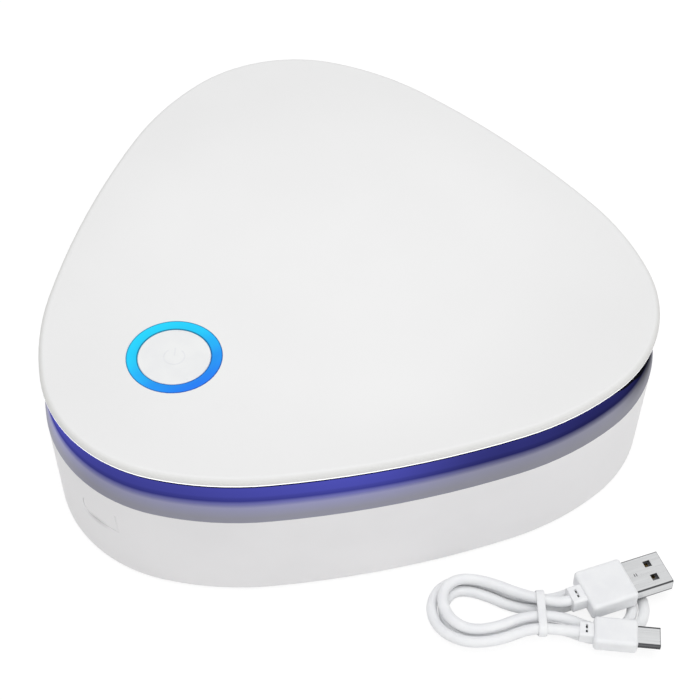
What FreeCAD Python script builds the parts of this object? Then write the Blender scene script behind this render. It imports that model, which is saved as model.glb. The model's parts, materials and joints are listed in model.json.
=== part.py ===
"""UV sterilizer: a rounded three-cornered box with a hinged lid, and its tied charging cable.

Lengths are millimetres and turns are degrees. Z is up and the table is at zero. The front
corner, with the button and the charging port, points along -Y, and the lid hinge is at +Y.
"""
import FreeCAD
import Part
import math
import os
import re

Vector = FreeCAD.Vector

# Driving sizes, grouped by the piece that carries them
SIZES = {
    # outline of the case: each sixth is a corner arc, a shoulder arc and a side arc
    "corner_radius": 49.8,
    "shoulder_radius": 96.6,
    "side_radius": 307.7,
    "corner_turn": 31.4,
    "shoulder_turn": 21.3,
    # clearances shared by many pieces
    "fit_gap": 0.2,
    "screw_gap": 0.05,
    "pin_gap": 0.05,
    "running_gap": 0.3,
    "overrun": 1.0,
    "hair": 0.0005,
    # base wall and bottom cover
    "wall_height": 36.3,
    "wall_draft": 1.4,
    "wall_thick": 2.4,
    "foot_round": 1.6,
    "ledge_width": 3.2,
    "ledge_thick": 1.7,
    "cover_recess": 0.5,
    "cover_thick": 2.0,
    "foot_proud": 0.8,
    "foot_radius": 6.5,
    "foot_setback": 40.5,
    "foot_edge": 0.4,
    # bevel, glowing band and collar
    "bevel_rise": 7.6,
    "bevel_inset": 1.1,
    "bevel_width": 4.2,
    "band_thick": 1.6,
    "glow_height": 8.1,
    "collar_height": 0.5,
    "collar_ledge": 1.0,
    "flange_drop": 0.8,
    "screen_thick": 0.4,
    "screen_lap": 3.0,
    "strip_gap": 1.8,
    "strip_thick": 0.4,
    "strip_height": 6.0,
    "glow_led_width": 3.0,
    "glow_led_height": 2.0,
    "glow_led_depth": 0.7,
    "glow_led_count": 12,
    # chamber tub
    "tub_inset": 7.4,
    "tub_thick": 1.2,
    "flange_inset": 3.6,
    "flange_thick": 1.15,
    "tub_floor_thick": 2.0,
    "boss_radius": 4.0,
    "boss_setback": 25.5,
    # ultraviolet lamps, alike in the floor and in the lid
    "lamp_reach": 30.0,
    "lamp_side": 3.5,
    "lamp_height": 1.1,
    "lamp_board_radius": 36.0,
    "lamp_board_thick": 1.2,
    "window_radius": 4.0,
    "window_thick": 0.8,
    # battery and main board
    "battery_length": 62.0,
    "battery_width": 44.0,
    "battery_height": 9.0,
    "battery_round": 2.0,
    "pad_thick": 1.0,
    "board_width": 26.0,
    "board_length": 34.0,
    "board_thick": 1.6,
    "board_edge": 2.0,
    "post_radius": 2.0,
    "post_margin": 3.0,
    "chip_side": 8.0,
    "chip_height": 1.4,
    "coil_radius": 4.0,
    "coil_height": 4.2,
    "buzzer_radius": 4.6,
    "buzzer_height": 3.4,
    # charging port
    "port_turn": 7.4,
    "port_height": 22.4,
    "recess_width": 14.6,
    "recess_height": 8.4,
    "recess_depth": 2.6,
    "recess_rise": 2.1,
    "round_end_share": 0.48,
    "flap_gap": 0.08,
    "flap_sink": 0.12,
    "flap_thick": 1.2,
    "flap_pin_radius": 0.3,
    "flap_pin_bite": 0.8,
    "socket_width": 7.6,
    "socket_depth": 5.6,
    "socket_height": 2.8,
    "socket_wall": 0.3,
    "socket_room": 1.9,
    "tongue_thick": 0.6,
    # lid
    "seal_gap": 0.15,
    "gasket_thick": 1.0,
    "gasket_inset": 3.4,
    "gasket_width": 1.6,
    "lid_edge": 2.7,
    "lid_round": 2.1,
    "lid_lip": 0.4,
    "lid_skin": 1.8,
    "lid_rim": 9.0,
    "liner_inset": 11.6,
    "liner_depth": 6.3,
    "liner_thick": 1.5,
    "liner_floor": 2.0,
    "lid_boss_radius": 3.4,
    "magnet_radius": 3.0,
    "magnet_height": 2.0,
    "magnet_gap": 1.5,
    "sensor_width": 4.0,
    "sensor_depth": 1.2,
    "sensor_height": 2.4,
    # button
    "button_shift": 3.8,
    "button_setback": 42.58,
    "ring_radius": 15.0,
    "ring_width": 3.45,
    "ring_lip": 1.6,
    "ring_lip_thick": 1.3,
    "cap_gap": 0.15,
    "cap_flange": 1.1,
    "cap_flange_thick": 1.0,
    "cap_edge": 0.35,
    "cap_wall": 1.5,
    "stem_radius": 2.4,
    "button_travel": 0.7,
    "button_board_radius": 17.0,
    "button_board_thick": 1.2,
    "button_led_side": 2.0,
    "button_led_height": 0.8,
    "button_led_count": 8,
    "switch_side": 6.0,
    "switch_height": 1.8,
    "plunger_radius": 1.7,
    "plunger_sunk": 0.7,
    # screws
    "screw_radius": 1.2,
    "screw_head_radius": 2.6,
    "screw_head_height": 1.2,
    "screw_bite": 7.0,
    "small_screw_radius": 0.7,
    "small_screw_head_radius": 1.5,
    "small_screw_head_height": 0.9,
    "small_screw_bite": 3.4,
    # hinge
    "hinge_inset": 1.1,
    "hinge_rise": 2.8,
    "barrel_radius": 1.6,
    "pin_radius": 0.8,
    "arm_half": 11.6,
    "knuckle_gap": 0.4,
    "knuckle_width": 8.0,
    "lug_depth": 2.2,
    "lug_inset": 3.0,
    "bar_height": 2.0,
    "arm_depth": 2.8,
    # charging cable: the hank, seen from its tie
    "cord_diameter": 3.4,
    "cord_pitch": 3.9,
    "cord_lift": 0.05,
    "hank_x": 116.09,
    "hank_y": -11.96,
    "hank_turn": 46.45,
    "left_lobe": 31.9,
    "right_lobe": 33.4,
    "lobe_bulge": 34.8,
    "lobe_rise": 2.9,
    "lobe_ease_share": 0.382,
    "lobe_power_share": 0.341,
    "lobe_pull_share": 0.141,
    "waist_lift": 1.1,
    "waist_length": 9.9,
    "tie_width": 2.6,
    "tie_thick": 0.7,
    "tie_gap": 0.35,
    # charging cable: where its two plugs lie, from the tie
    "plug_a_along": 9.05,
    "plug_a_across": 1.72,
    "plug_a_turn": 20.25,
    "plug_b_along": 11.1,
    "plug_b_across": -9.28,
    "plug_b_turn": -6.15,
    # charging cable: the larger plug
    "body_a_width": 14.8,
    "body_a_height": 6.6,
    "body_a_length": 15.6,
    "body_round": 1.2,
    "relief_a_width": 6.4,
    "relief_a_height": 5.2,
    "relief_a_length": 4.5,
    "relief_round": 0.8,
    "slot_width": 3.0,
    "slot_length": 0.7,
    "slot_depth": 0.6,
    "shell_a_width": 12.0,
    "shell_a_height": 4.5,
    "shell_a_length": 12.4,
    "shell_a_wall": 0.35,
    "shell_hole": 2.3,
    "shell_hole_reach": 7.6,
    "shell_hole_pitch": 5.2,
    "tongue_a_height": 1.9,
    "tongue_a_back": 1.0,
    "contact_width": 1.1,
    "contact_thick": 0.2,
    "contact_pitch": 2.4,
    "contact_length": 7.5,
    # charging cable: the smaller plug
    "body_b_width": 9.6,
    "body_b_height": 5.4,
    "body_b_length": 13.4,
    "relief_b_width": 5.2,
    "relief_b_height": 4.4,
    "relief_b_length": 4.2,
    "shell_b_width": 6.85,
    "shell_b_height": 1.8,
    "shell_b_length": 6.9,
    "shell_b_wall": 0.25,
    "tongue_b_height": 0.5,
    "tongue_b_back": 1.2,
}

# Sizes that follow from the driving ones
WORKED = {
    "side_across": "(corner_radius - shoulder_radius) * sin(corner_turn * 1 deg)"
                   " + (shoulder_radius - side_radius) * sin((corner_turn + shoulder_turn) * 1 deg)",
    "side_along": "(corner_radius - shoulder_radius) * cos(corner_turn * 1 deg)"
                  " + (shoulder_radius - side_radius) * cos((corner_turn + shoulder_turn) * 1 deg)",
    "corner_out": "side_across / tan(60 deg) - side_along",
    "reach": "corner_out + corner_radius",
    "half_depth": "side_radius + side_across / sin(60 deg)",
    "hinge_proud": "barrel_radius - hinge_inset",
    "centre_y": "(reach - half_depth - hinge_proud) / 2",
    "rear_y": "centre_y + half_depth",
    "corner_y": "centre_y - corner_out",
    "wall_inner": "wall_draft + wall_thick",
    "wall_top": "foot_proud + wall_height",
    "port_face": "corner_radius - wall_draft * (wall_top - port_height) / wall_height",
    "recess_floor": "port_face - recess_depth",
    "socket_low": "port_height - socket_height / 2",
    "board_low": "socket_low - board_thick",
    "tub_floor": "socket_low + socket_height + socket_room",
    "cover_low": "foot_proud + cover_recess",
    "cover_top": "cover_low + cover_thick",
    "bevel_top": "wall_top + bevel_rise",
    "bevel_inner": "bevel_inset + bevel_width",
    "collar_low": "bevel_top + glow_height",
    "rim_top": "collar_low + collar_height",
    "flange_low": "collar_low - flange_drop",
    "ledge_low": "flange_low - collar_ledge",
    "tub_top": "flange_low + flange_thick",
    "tub_inner": "tub_inset + tub_thick",
    "chamber_low": "tub_floor + tub_floor_thick",
    "strip_inset": "bevel_inset + band_thick + strip_gap",
    "lid_low": "tub_top + seal_gap + gasket_thick",
    "lid_top": "lid_low + lid_edge",
    "skin_low": "lid_top - lid_skin",
    "liner_low": "lid_low - liner_depth",
    "liner_top": "liner_low + liner_floor",
    "button_y": "centre_y - reach + button_setback",
    "ring_inner": "ring_radius - ring_width",
    "cap_radius": "ring_inner - cap_gap",
    "cap_flange_top": "skin_low - cap_gap",
    "switch_low": "liner_top + button_board_thick",
    "switch_top": "switch_low + switch_height",
    "plunger_low": "switch_top - plunger_sunk",
    "plunger_height": "plunger_sunk + button_travel + running_gap",
    "plunger_top": "plunger_low + plunger_height",
    "hinge_y": "rear_y - hinge_inset",
    "hinge_z": "bevel_top + hinge_rise",
    "knuckle_near": "arm_half + knuckle_gap",
    "knuckle_far": "knuckle_near + knuckle_width",
    "notch_half": "knuckle_far + running_gap",
    "notch_depth": "lug_inset + running_gap",
    "board_face": "corner_radius - wall_inner - board_edge",
    "recess_low": "port_height + recess_rise - recess_height / 2",
    "recess_round": "recess_height * round_end_share",
    "flap_low": "recess_low + flap_gap",
    "flap_height": "recess_height - 2 * flap_gap",
    "flap_axis_x": "recess_width / 2 - flap_gap - flap_thick / 2",
    "flap_axis": "sqrt(port_face ^ 2 - flap_axis_x ^ 2) - flap_sink - flap_thick / 2",
    "cord_low": "cord_diameter / 2 + cord_lift",
    "plug_low": "cord_low + cord_diameter / 2 + running_gap",
    "axis_a": "plug_low + body_a_height / 2",
    "axis_b": "plug_low + body_b_height / 2",
}

WORD = re.compile(r"[a-z_]+")
doc = FreeCAD.newDocument("uv_sterilizer")
NODES = {}


def linked(formula):
    """The formula with each size replaced by its cell in the sheets."""
    def cell(match):
        word = match.group()
        if word in SIZES:
            return "Sizes." + word
        if word in WORKED:
            return "Worked." + word
        return word
    return WORD.sub(cell, formula)


def fill_sheet(name, rows):
    """A sheet with one named cell for each row."""
    sheet = doc.addObject("Spreadsheet::Sheet", name)
    for number, (alias, text) in enumerate(rows, start=1):
        sheet.set("A%d" % number, alias)
        sheet.set("B%d" % number, text)
        sheet.setAlias("B%d" % number, alias)
    doc.recompute()
    return sheet


sizes = fill_sheet("Sizes", [(name, str(value)) for name, value in SIZES.items()])
worked = fill_sheet("Worked", [(name, "=" + linked(rule)) for name, rule in WORKED.items()])


def size(name):
    """The number in a named cell."""
    sheet = sizes if name in SIZES else worked
    return float(sheet.get(name))


def bind(thing, **rules):
    """Tie properties of a document object to formulas of the named sizes."""
    for name, rule in rules.items():
        thing.setExpression(name, linked(rule))
    return thing


def place(thing, x="0", y="0", z="0"):
    """Tie the position of a document object to three formulas."""
    for axis, rule in (("x", x), ("y", y), ("z", z)):
        if rule != "0":
            thing.setExpression("Placement.Base." + axis, linked(rule))
    return thing


def keep(node, thing):
    """Name a finished piece."""
    thing.Label = node
    NODES[node] = thing
    return thing


def box(name, length, width, height, x, y, z):
    """A block centred on x and y and standing on z."""
    thing = doc.addObject("Part::Box", name)
    bind(thing, Length=length, Width=width, Height=height)
    return place(thing, "%s - (%s) / 2" % (x, length), "%s - (%s) / 2" % (y, width), z)


def cylinder(name, radius, height, x, y, z):
    """An upright cylinder standing on z."""
    thing = doc.addObject("Part::Cylinder", name)
    bind(thing, Radius=radius, Height=height)
    return place(thing, x, y, z)


def rod(name, radius, start, length, y, z):
    """A cylinder lying along X."""
    thing = doc.addObject("Part::Cylinder", name)
    bind(thing, Radius=radius, Height=length)
    thing.Placement = FreeCAD.Placement(Vector(), FreeCAD.Rotation(Vector(0, 1, 0), 90))
    return place(thing, start, y, z)


def group(name, things):
    """Separate solids kept together as one piece."""
    thing = doc.addObject("Part::Compound", name)
    thing.Links = things
    return thing


def fuse(name, things):
    """Solids joined into one."""
    thing = doc.addObject("Part::MultiFuse", name)
    thing.Shapes = things
    return thing


def cut(name, base, tools):
    """A solid with tools taken away from it."""
    thing = doc.addObject("Part::Cut", name)
    thing.Base = base
    thing.Tool = tools[0] if len(tools) == 1 else group(name + "_tools", tools)
    return thing


def rounded(name, base, radius, wanted):
    """A solid with the edges that are wanted rounded."""
    doc.recompute()
    thing = doc.addObject("Part::Fillet", name)
    thing.Base = base
    edges = enumerate(base.Shape.Edges, start=1)
    thing.Edges = [(number, radius, radius) for number, edge in edges if wanted(edge)]
    return thing


def level_at(height):
    """A test for edges that lie flat at a height."""
    near = size("screw_gap")
    return lambda edge: max(abs(edge.BoundBox.ZMin - height), abs(edge.BoundBox.ZMax - height)) < near


def along(axis):
    """A test for straight edges along an axis."""
    def runs_along(edge):
        if edge.Curve.TypeId != "Part::GeomLine":
            return False
        return abs(edge.tangentAt(edge.FirstParameter).dot(axis)) > 0.99
    return runs_along


def free_end(edge):
    """Whether an edge runs along Y at the end of the port that is away from its hinge."""
    return along(Vector(0, 1, 0))(edge) and edge.BoundBox.XMax < 0


# Outline of the case

def outline_arcs():
    """Twelve tangent arcs, going round once, as (centre, radius, start turn, end turn)."""
    corner, shoulder = size("corner_turn"), size("corner_turn") + size("shoulder_turn")
    third, sixth = 120, 60
    middle = Vector(0, size("centre_y"), 0)

    def towards(turn):
        return Vector(math.cos(math.radians(turn)), math.sin(math.radians(turn)), 0)

    arcs = []
    for point in range(3):
        apex = point * third - 90
        corner_centre = middle + towards(apex) * size("corner_out")
        step = size("corner_radius") - size("shoulder_radius")
        after = corner_centre + towards(apex + corner) * step
        side = after + towards(apex + shoulder) * (size("shoulder_radius") - size("side_radius"))
        next_apex = apex + third
        next_corner = middle + towards(next_apex) * size("corner_out")
        before = next_corner + towards(next_apex - corner) * step
        arcs.append((corner_centre, "corner_radius", apex - corner, apex + corner))
        arcs.append((after, "shoulder_radius", apex + corner, apex + shoulder))
        arcs.append((side, "side_radius", apex + shoulder, apex + 2 * sixth - shoulder))
        arcs.append((before, "shoulder_radius", next_apex - shoulder, next_apex - corner))
    return arcs


def outline_sketch():
    """The outline as a sketch whose arcs stay tangent and whose radii follow the sheet."""
    import Sketcher
    sketch = doc.addObject("Sketcher::SketchObject", "outline")
    up = Vector(0, 0, 1)
    arcs = outline_arcs()
    for centre, radius, start, end in arcs:
        circle = Part.Circle(centre, up, size(radius))
        sketch.addGeometry(Part.ArcOfCircle(circle, math.radians(start), math.radians(end)), False)
    for number in range(len(arcs)):
        sketch.addConstraint(Sketcher.Constraint("Tangent", number, 2, (number + 1) % len(arcs), 1))
    first = {}
    for number, (centre, radius, start, end) in enumerate(arcs):
        if radius in first:
            sketch.addConstraint(Sketcher.Constraint("Equal", first[radius], number))
        else:
            first[radius] = number
            at = sketch.addConstraint(Sketcher.Constraint("Radius", number, size(radius)))
            sketch.renameConstraint(at, radius)
            sketch.setExpression("Constraints." + radius, linked(radius))
    return sketch


outline = outline_sketch()
doc.recompute()


def line(name, inset, z="0"):
    """The outline drawn in by an inset, at a height."""
    thing = doc.addObject("Part::Offset2D", name)
    thing.Source = outline
    bind(thing, Value="-(%s)" % inset)
    return place(thing, z=z)


def prism(name, inset, z, height):
    """An upright solid on the outline, drawn in by an inset."""
    thing = doc.addObject("Part::Extrusion", name)
    thing.Base = outline if inset == "0" else line(name + "_line", inset)
    thing.DirMode = "Custom"
    thing.Dir = Vector(0, 0, 1)
    thing.Solid = True
    bind(thing, LengthFwd=height)
    return place(thing, z=z)


def ring(name, outer, inner, z, height):
    """An upright wall between two insets of the outline."""
    body = prism(name + "_outer", outer, z, height)
    bore = prism(name + "_bore", inner, "%s - overrun" % z, "%s + 2 * overrun" % height)
    return cut(name, body, [bore])


def sloped(name, low_inset, low, high_inset, high):
    """A solid whose wall leans from one inset of the outline to another."""
    thing = doc.addObject("Part::Loft", name)
    thing.Sections = [line(name + "_low", low_inset, low), line(name + "_high", high_inset, high)]
    thing.Solid = True
    thing.Ruled = True
    return thing


def spot(reach, turn):
    """A place at a distance and a turn from the middle of the outline."""
    return ("%s * cos(%d deg)" % (reach, turn), "centre_y + %s * sin(%d deg)" % (reach, turn))


CORNERS = (270, 30, 150)
SIDES = (90, 210, 330)


def near_port(across, out):
    """A place beside the port: across it, and out from the centre of the corner arc."""
    turn = "(port_turn * 1 deg)"
    x = "(%s) * cos%s + (%s) * sin%s" % (across, turn, out, turn)
    y = "corner_y + (%s) * sin%s - (%s) * cos%s" % (across, turn, out, turn)
    return x, y


def turn_to_port(thing):
    """Turn a piece drawn at the corner's tip round to where the port is."""
    thing.Placement = FreeCAD.Placement(Vector(), FreeCAD.Rotation(Vector(0, 0, 1), 1))
    bind(thing, **{"Placement.Rotation.Angle": "port_turn"})
    turn = "(port_turn * 1 deg)"
    return place(thing, "corner_y * sin" + turn, "corner_y * (1 - cos%s)" % turn)


def port_box(name, across, width, near, far, low, height):
    """A block at the corner's tip, between two distances from the centre of the corner arc."""
    return box(name, width, "%s - (%s)" % (far, near), height, across,
               "corner_y - ((%s) + (%s)) / 2" % (near, far), low)


# Base

def make_base_shell():
    """Leaning outer wall with a rounded foot, the ledge for the cover, and the port recess."""
    wall = sloped("wall", "wall_draft", "foot_proud", "hair", "wall_top")
    wall = rounded("wall_round", wall, size("foot_round"), level_at(size("foot_proud")))
    hollow = prism("wall_hollow", "wall_inner", "foot_proud - overrun", "wall_height + 2 * overrun")
    ledge = ring("ledge", "wall_inner - overrun", "wall_inner + ledge_width", "cover_top", "ledge_thick")
    recess = port_box("recess", "0", "recess_width", "recess_floor", "port_face + overrun", "recess_low",
                      "recess_height")
    recess = rounded("recess_round_end", recess, size("recess_round"), free_end)
    mouth = port_box("mouth", "0", "socket_width + 2 * fit_gap", "recess_floor - wall_thick",
                     "recess_floor + overrun", "socket_low - fit_gap", "socket_height + 2 * fit_gap")
    pin_hole = cylinder("flap_pin_hole", "flap_pin_radius", "recess_height + 2 * flap_pin_bite",
                        "flap_axis_x", "corner_y - flap_axis", "recess_low - flap_pin_bite")
    port = turn_to_port(group("port_cuts", [recess, mouth, pin_hole]))
    shell = cut("wall_open", wall, [hollow])
    keep("base_shell", cut("base", fuse("wall_ledge", [shell, ledge]), [port]))


def screw_set(name, places, low, radius, head_radius, head_height, bite):
    """Screws with their heads down, as separate solids."""
    screws = []
    for number, (x, y) in enumerate(places):
        head = cylinder("%s_head_%d" % (name, number), head_radius, head_height, x, y, low)
        shank = cylinder("%s_shank_%d" % (name, number), radius, bite, x, y, "%s + %s" % (low, head_height))
        screws.append(fuse("%s_%d" % (name, number), [head, shank]))
    return keep(name, group(name + "_set", screws))


def screw_holes(name, places, low, radius, head_radius, head_height, bite):
    """Holes that take a set of screws."""
    holes = []
    for number, (x, y) in enumerate(places):
        holes.append(cylinder("%s_sink_%d" % (name, number), "%s + fit_gap" % head_radius,
                              "%s + overrun" % head_height, x, y, "%s - overrun" % low))
        holes.append(cylinder("%s_bore_%d" % (name, number), "%s + screw_gap" % radius,
                              "%s + overrun" % bite, x, y, "%s + %s - overrun / 2" % (low, head_height)))
    return holes


BASE_SCREWS = [spot("(half_depth - boss_setback)", turn) for turn in SIDES]
SCREW = ("screw_radius", "screw_head_radius", "screw_head_height", "screw_bite")
SMALL_SCREW = ("small_screw_radius", "small_screw_head_radius", "small_screw_head_height", "small_screw_bite")
# The board posts stand in from the board's corners
POSTS = [near_port("%d * (board_width / 2 - post_margin)" % side, "board_face - %s" % back)
         for side in (-1, 1) for back in ("3 * post_margin", "(board_length - post_margin)")]


def make_bottom():
    """Bottom cover, its screws and its rubber feet."""
    plate = prism("cover_plate", "wall_inner + fit_gap", "cover_low", "cover_thick")
    keep("bottom_cover", cut("cover", plate, screw_holes("cover", BASE_SCREWS, "cover_low", *SCREW)))
    screw_set("base_screws", BASE_SCREWS, "cover_low", *SCREW)
    feet = []
    for number, turn in enumerate(CORNERS):
        x, y = spot("(reach - foot_setback)", turn)
        disc = cylinder("foot_%d" % number, "foot_radius", "cover_low", x, y, "0")
        feet.append(rounded("foot_round_%d" % number, disc, size("foot_edge"), level_at(0)))
    keep("rubber_feet", group("feet", feet))


def hinge_notch(name):
    """Room in a ring for the hinge bracket and the lid's arm."""
    return box(name, "2 * notch_half", "notch_depth + overrun", "lid_low - wall_top + overrun", "0",
               "rear_y + (overrun - notch_depth) / 2", "wall_top - overrun")


def make_rings():
    """Grey bevel, glowing band with a screen behind the hinge, dark collar and the lamp strip."""
    bevel = sloped("bevel", "hair", "wall_top", "bevel_inset", "bevel_top")
    bore = prism("bevel_bore", "bevel_inner", "wall_top - overrun", "bevel_rise + 2 * overrun")
    keep("bevel_ring", cut("bevel_cut", bevel, [bore, hinge_notch("bevel_notch")]))
    band_inner = "bevel_inset + band_thick"
    band = ring("band", "bevel_inset", band_inner, "bevel_top", "glow_height")
    screen = box("screen", "2 * (notch_half + screen_lap)", "screen_thick", "ledge_low - fit_gap - bevel_top",
                 "0", "rear_y - notch_depth - screen_thick / 2", "bevel_top")
    keep("light_ring", fuse("band_whole", [cut("band_open", band, [hinge_notch("band_notch")]), screen]))
    web_outer = "bevel_inset + band_thick + fit_gap"
    web_inner = "flange_inset - fit_gap"
    rim = ring("collar_rim", "bevel_inset", web_inner, "collar_low", "collar_height")
    web = ring("collar_web", web_outer, web_inner, "ledge_low", "rim_top - ledge_low")
    ledge = ring("collar_step", web_outer, "strip_inset + strip_thick", "ledge_low", "collar_ledge")
    collar = fuse("collar_whole", [rim, web, ledge])
    keep("collar_ring", cut("collar", collar, [hinge_notch("collar_notch")]))
    keep("glow_strip", ring("strip", "strip_inset", "strip_inset + strip_thick", "bevel_top", "strip_height"))
    low = "bevel_top + (strip_height - glow_led_height) / 2"
    track = ring("led_track", "strip_inset - glow_led_depth", "strip_inset", low, "glow_led_height")
    bars = []
    for number in range(int(size("glow_led_count"))):
        bar = box("led_bar_%d" % number, "reach", "glow_led_width", "glow_led_height", "0", "0", low)
        turn = FreeCAD.Rotation(Vector(0, 0, 1), number * 360 / size("glow_led_count"))
        bar.Placement = FreeCAD.Placement(Vector(), turn)
        half = "(glow_led_width / 2)"
        angle = "(%d * 360 deg / glow_led_count)" % number
        place(bar, "%s * sin%s" % (half, angle), "centre_y - %s * cos%s" % (half, angle), low)
        bars.append(bar)
    blocks = doc.addObject("Part::MultiCommon", "led_blocks")
    blocks.Shapes = [track, group("led_bars", bars)]
    keep("glow_leds", blocks)


def lamp_pieces(prefix, places, window_low, lamp_low, board_low):
    """Windows, lamps and their round board, for the floor or for the lid."""
    windows = []
    lamps = []
    for number, (x, y) in enumerate(places):
        window = cylinder("%s_window_%d" % (prefix, number), "window_radius", "window_thick", x, y,
                          window_low)
        windows.append(window)
        lamp = box("%s_lamp_%d" % (prefix, number), "lamp_side", "lamp_side", "lamp_height", x, y, lamp_low)
        lamps.append(lamp)
    keep(prefix + "_windows", group(prefix + "_window_set", windows))
    keep(prefix + "_leds", group(prefix + "_lamp_set", lamps))
    board = cylinder(prefix + "_board", "lamp_board_radius", "lamp_board_thick", "0", "centre_y", board_low)
    keep(prefix + "_led_board", board)


LAMPS = [spot("lamp_reach", turn) for turn in SIDES]


def lamp_holes(prefix, low, height):
    """Round holes for the windows and lamps."""
    return [cylinder("%s_hole_%d" % (prefix, number), "window_radius + screw_gap", height, x, y, low)
            for number, (x, y) in enumerate(LAMPS)]


def make_tub():
    """Mirror-lined chamber, hung by its flange, with bosses and posts below its floor."""
    wall = prism("tub_wall", "tub_inset", "tub_floor", "tub_top - tub_floor")
    flange = prism("tub_flange", "flange_inset", "flange_low", "flange_thick")
    room = prism("tub_room", "tub_inner", "chamber_low", "tub_top - chamber_low + overrun")
    bosses = [cylinder("boss_%d" % number, "boss_radius", "tub_floor - cover_top + tub_floor_thick / 2", x, y,
                       "cover_top") for number, (x, y) in enumerate(BASE_SCREWS)]
    posts = [cylinder("post_%d" % number, "post_radius", "tub_floor - socket_low + tub_floor_thick / 2", x, y,
                      "socket_low") for number, (x, y) in enumerate(POSTS)]
    body = fuse("tub_body", [wall, flange] + bosses + posts)
    tools = [room] + lamp_holes("floor", "tub_floor - overrun", "tub_floor_thick + 2 * overrun")
    tools += screw_holes("tub", BASE_SCREWS, "cover_low", *SCREW)
    tools += screw_holes("post", POSTS, "board_low - small_screw_head_height", *SMALL_SCREW)
    keep("chamber_tub", cut("tub", body, tools))
    lamp_pieces("floor", LAMPS, "chamber_low - window_thick", "tub_floor", "tub_floor - lamp_board_thick")


def make_electronics():
    """Battery on its pad, and the main board hung behind the port."""
    pad = box("pad", "battery_length", "battery_width", "pad_thick", "0", "centre_y", "cover_top")
    keep("battery_pad", pad)
    cell = box("cell", "battery_length", "battery_width", "battery_height", "0", "centre_y",
               "cover_top + pad_thick")
    keep("battery", rounded("cell_round", cell, size("battery_round"), along(Vector(1, 0, 0))))
    board = port_box("board", "0", "board_width", "board_face - board_length", "board_face", "board_low",
                     "board_thick")
    holes = screw_holes("board", POSTS, "board_low - small_screw_head_height", *SMALL_SCREW)
    keep("main_board", cut("board_cut", turn_to_port(group("board_turned", [board])), holes))
    screw_set("board_screws", POSTS, "board_low - small_screw_head_height", *SMALL_SCREW)
    middle = "board_face - board_length / 2"
    chip = box("chip", "chip_side", "chip_side", "chip_height", *near_port("0", middle),
               "board_low - chip_height")
    coil = cylinder("coil", "coil_radius", "coil_height", *near_port("-chip_side", middle),
                    "board_low - coil_height")
    buzzer = cylinder("buzzer", "buzzer_radius", "buzzer_height",
                      *near_port("chip_side + buzzer_radius / 4", "%s - post_margin" % middle),
                      "board_low - buzzer_height")
    keep("board_parts", group("board_part_set", [chip, coil, buzzer]))
    sensor = box("sensor", "sensor_width", "sensor_depth", "sensor_height", "0",
                 "centre_y - reach + tub_inset - sensor_depth / 2", "flange_low - sensor_height")
    keep("hall_sensor", sensor)


def make_port():
    """Charging socket, and the flap on a pin that hides it and carries on the curve of the wall."""
    back = "recess_floor - socket_depth"
    can = port_box("socket_can", "0", "socket_width", back, "recess_floor", "socket_low", "socket_height")
    room = port_box("socket_room", "0", "socket_width - 2 * socket_wall", "%s + socket_wall" % back,
                    "recess_floor + overrun", "socket_low + socket_wall", "socket_height - 2 * socket_wall")
    tongue = port_box("socket_tongue", "0", "socket_width - 6 * socket_wall", "%s + socket_wall / 2" % back,
                      "recess_floor - 2 * socket_wall", "port_height - tongue_thick / 2", "tongue_thick")
    keep("usb_socket", turn_to_port(fuse("socket", [cut("socket_open", can, [room]), tongue])))
    free = "(flap_gap - recess_width / 2)"
    plate = port_box("flap_plate", "(%s + flap_axis_x) / 2" % free, "flap_axis_x - %s" % free,
                     "flap_axis - flap_thick / 2", "port_face + overrun", "flap_low", "flap_height")
    plate = rounded("flap_round_end", plate, size("recess_round") - size("flap_gap"), free_end)
    face = doc.addObject("Part::MultiCommon", "flap_face")
    skin = sloped("flap_skin", "wall_draft + flap_sink", "foot_proud", "flap_sink", "wall_top")
    face.Shapes = [plate, skin]
    barrel = cylinder("flap_barrel", "flap_thick / 2", "flap_height", "flap_axis_x", "corner_y - flap_axis",
                      "flap_low")
    bore = cylinder("flap_bore", "flap_pin_radius + pin_gap / 2", "flap_height + 2 * overrun", "flap_axis_x",
                    "corner_y - flap_axis", "flap_low - overrun")
    keep("port_cover", turn_to_port(cut("flap", fuse("flap_whole", [face, barrel]), [bore])))
    pin = cylinder("flap_pin", "flap_pin_radius", "recess_height + 2 * flap_pin_bite", "flap_axis_x",
                   "corner_y - flap_axis", "recess_low - flap_pin_bite")
    keep("cover_pin", turn_to_port(group("flap_pin_turned", [pin])))


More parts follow.
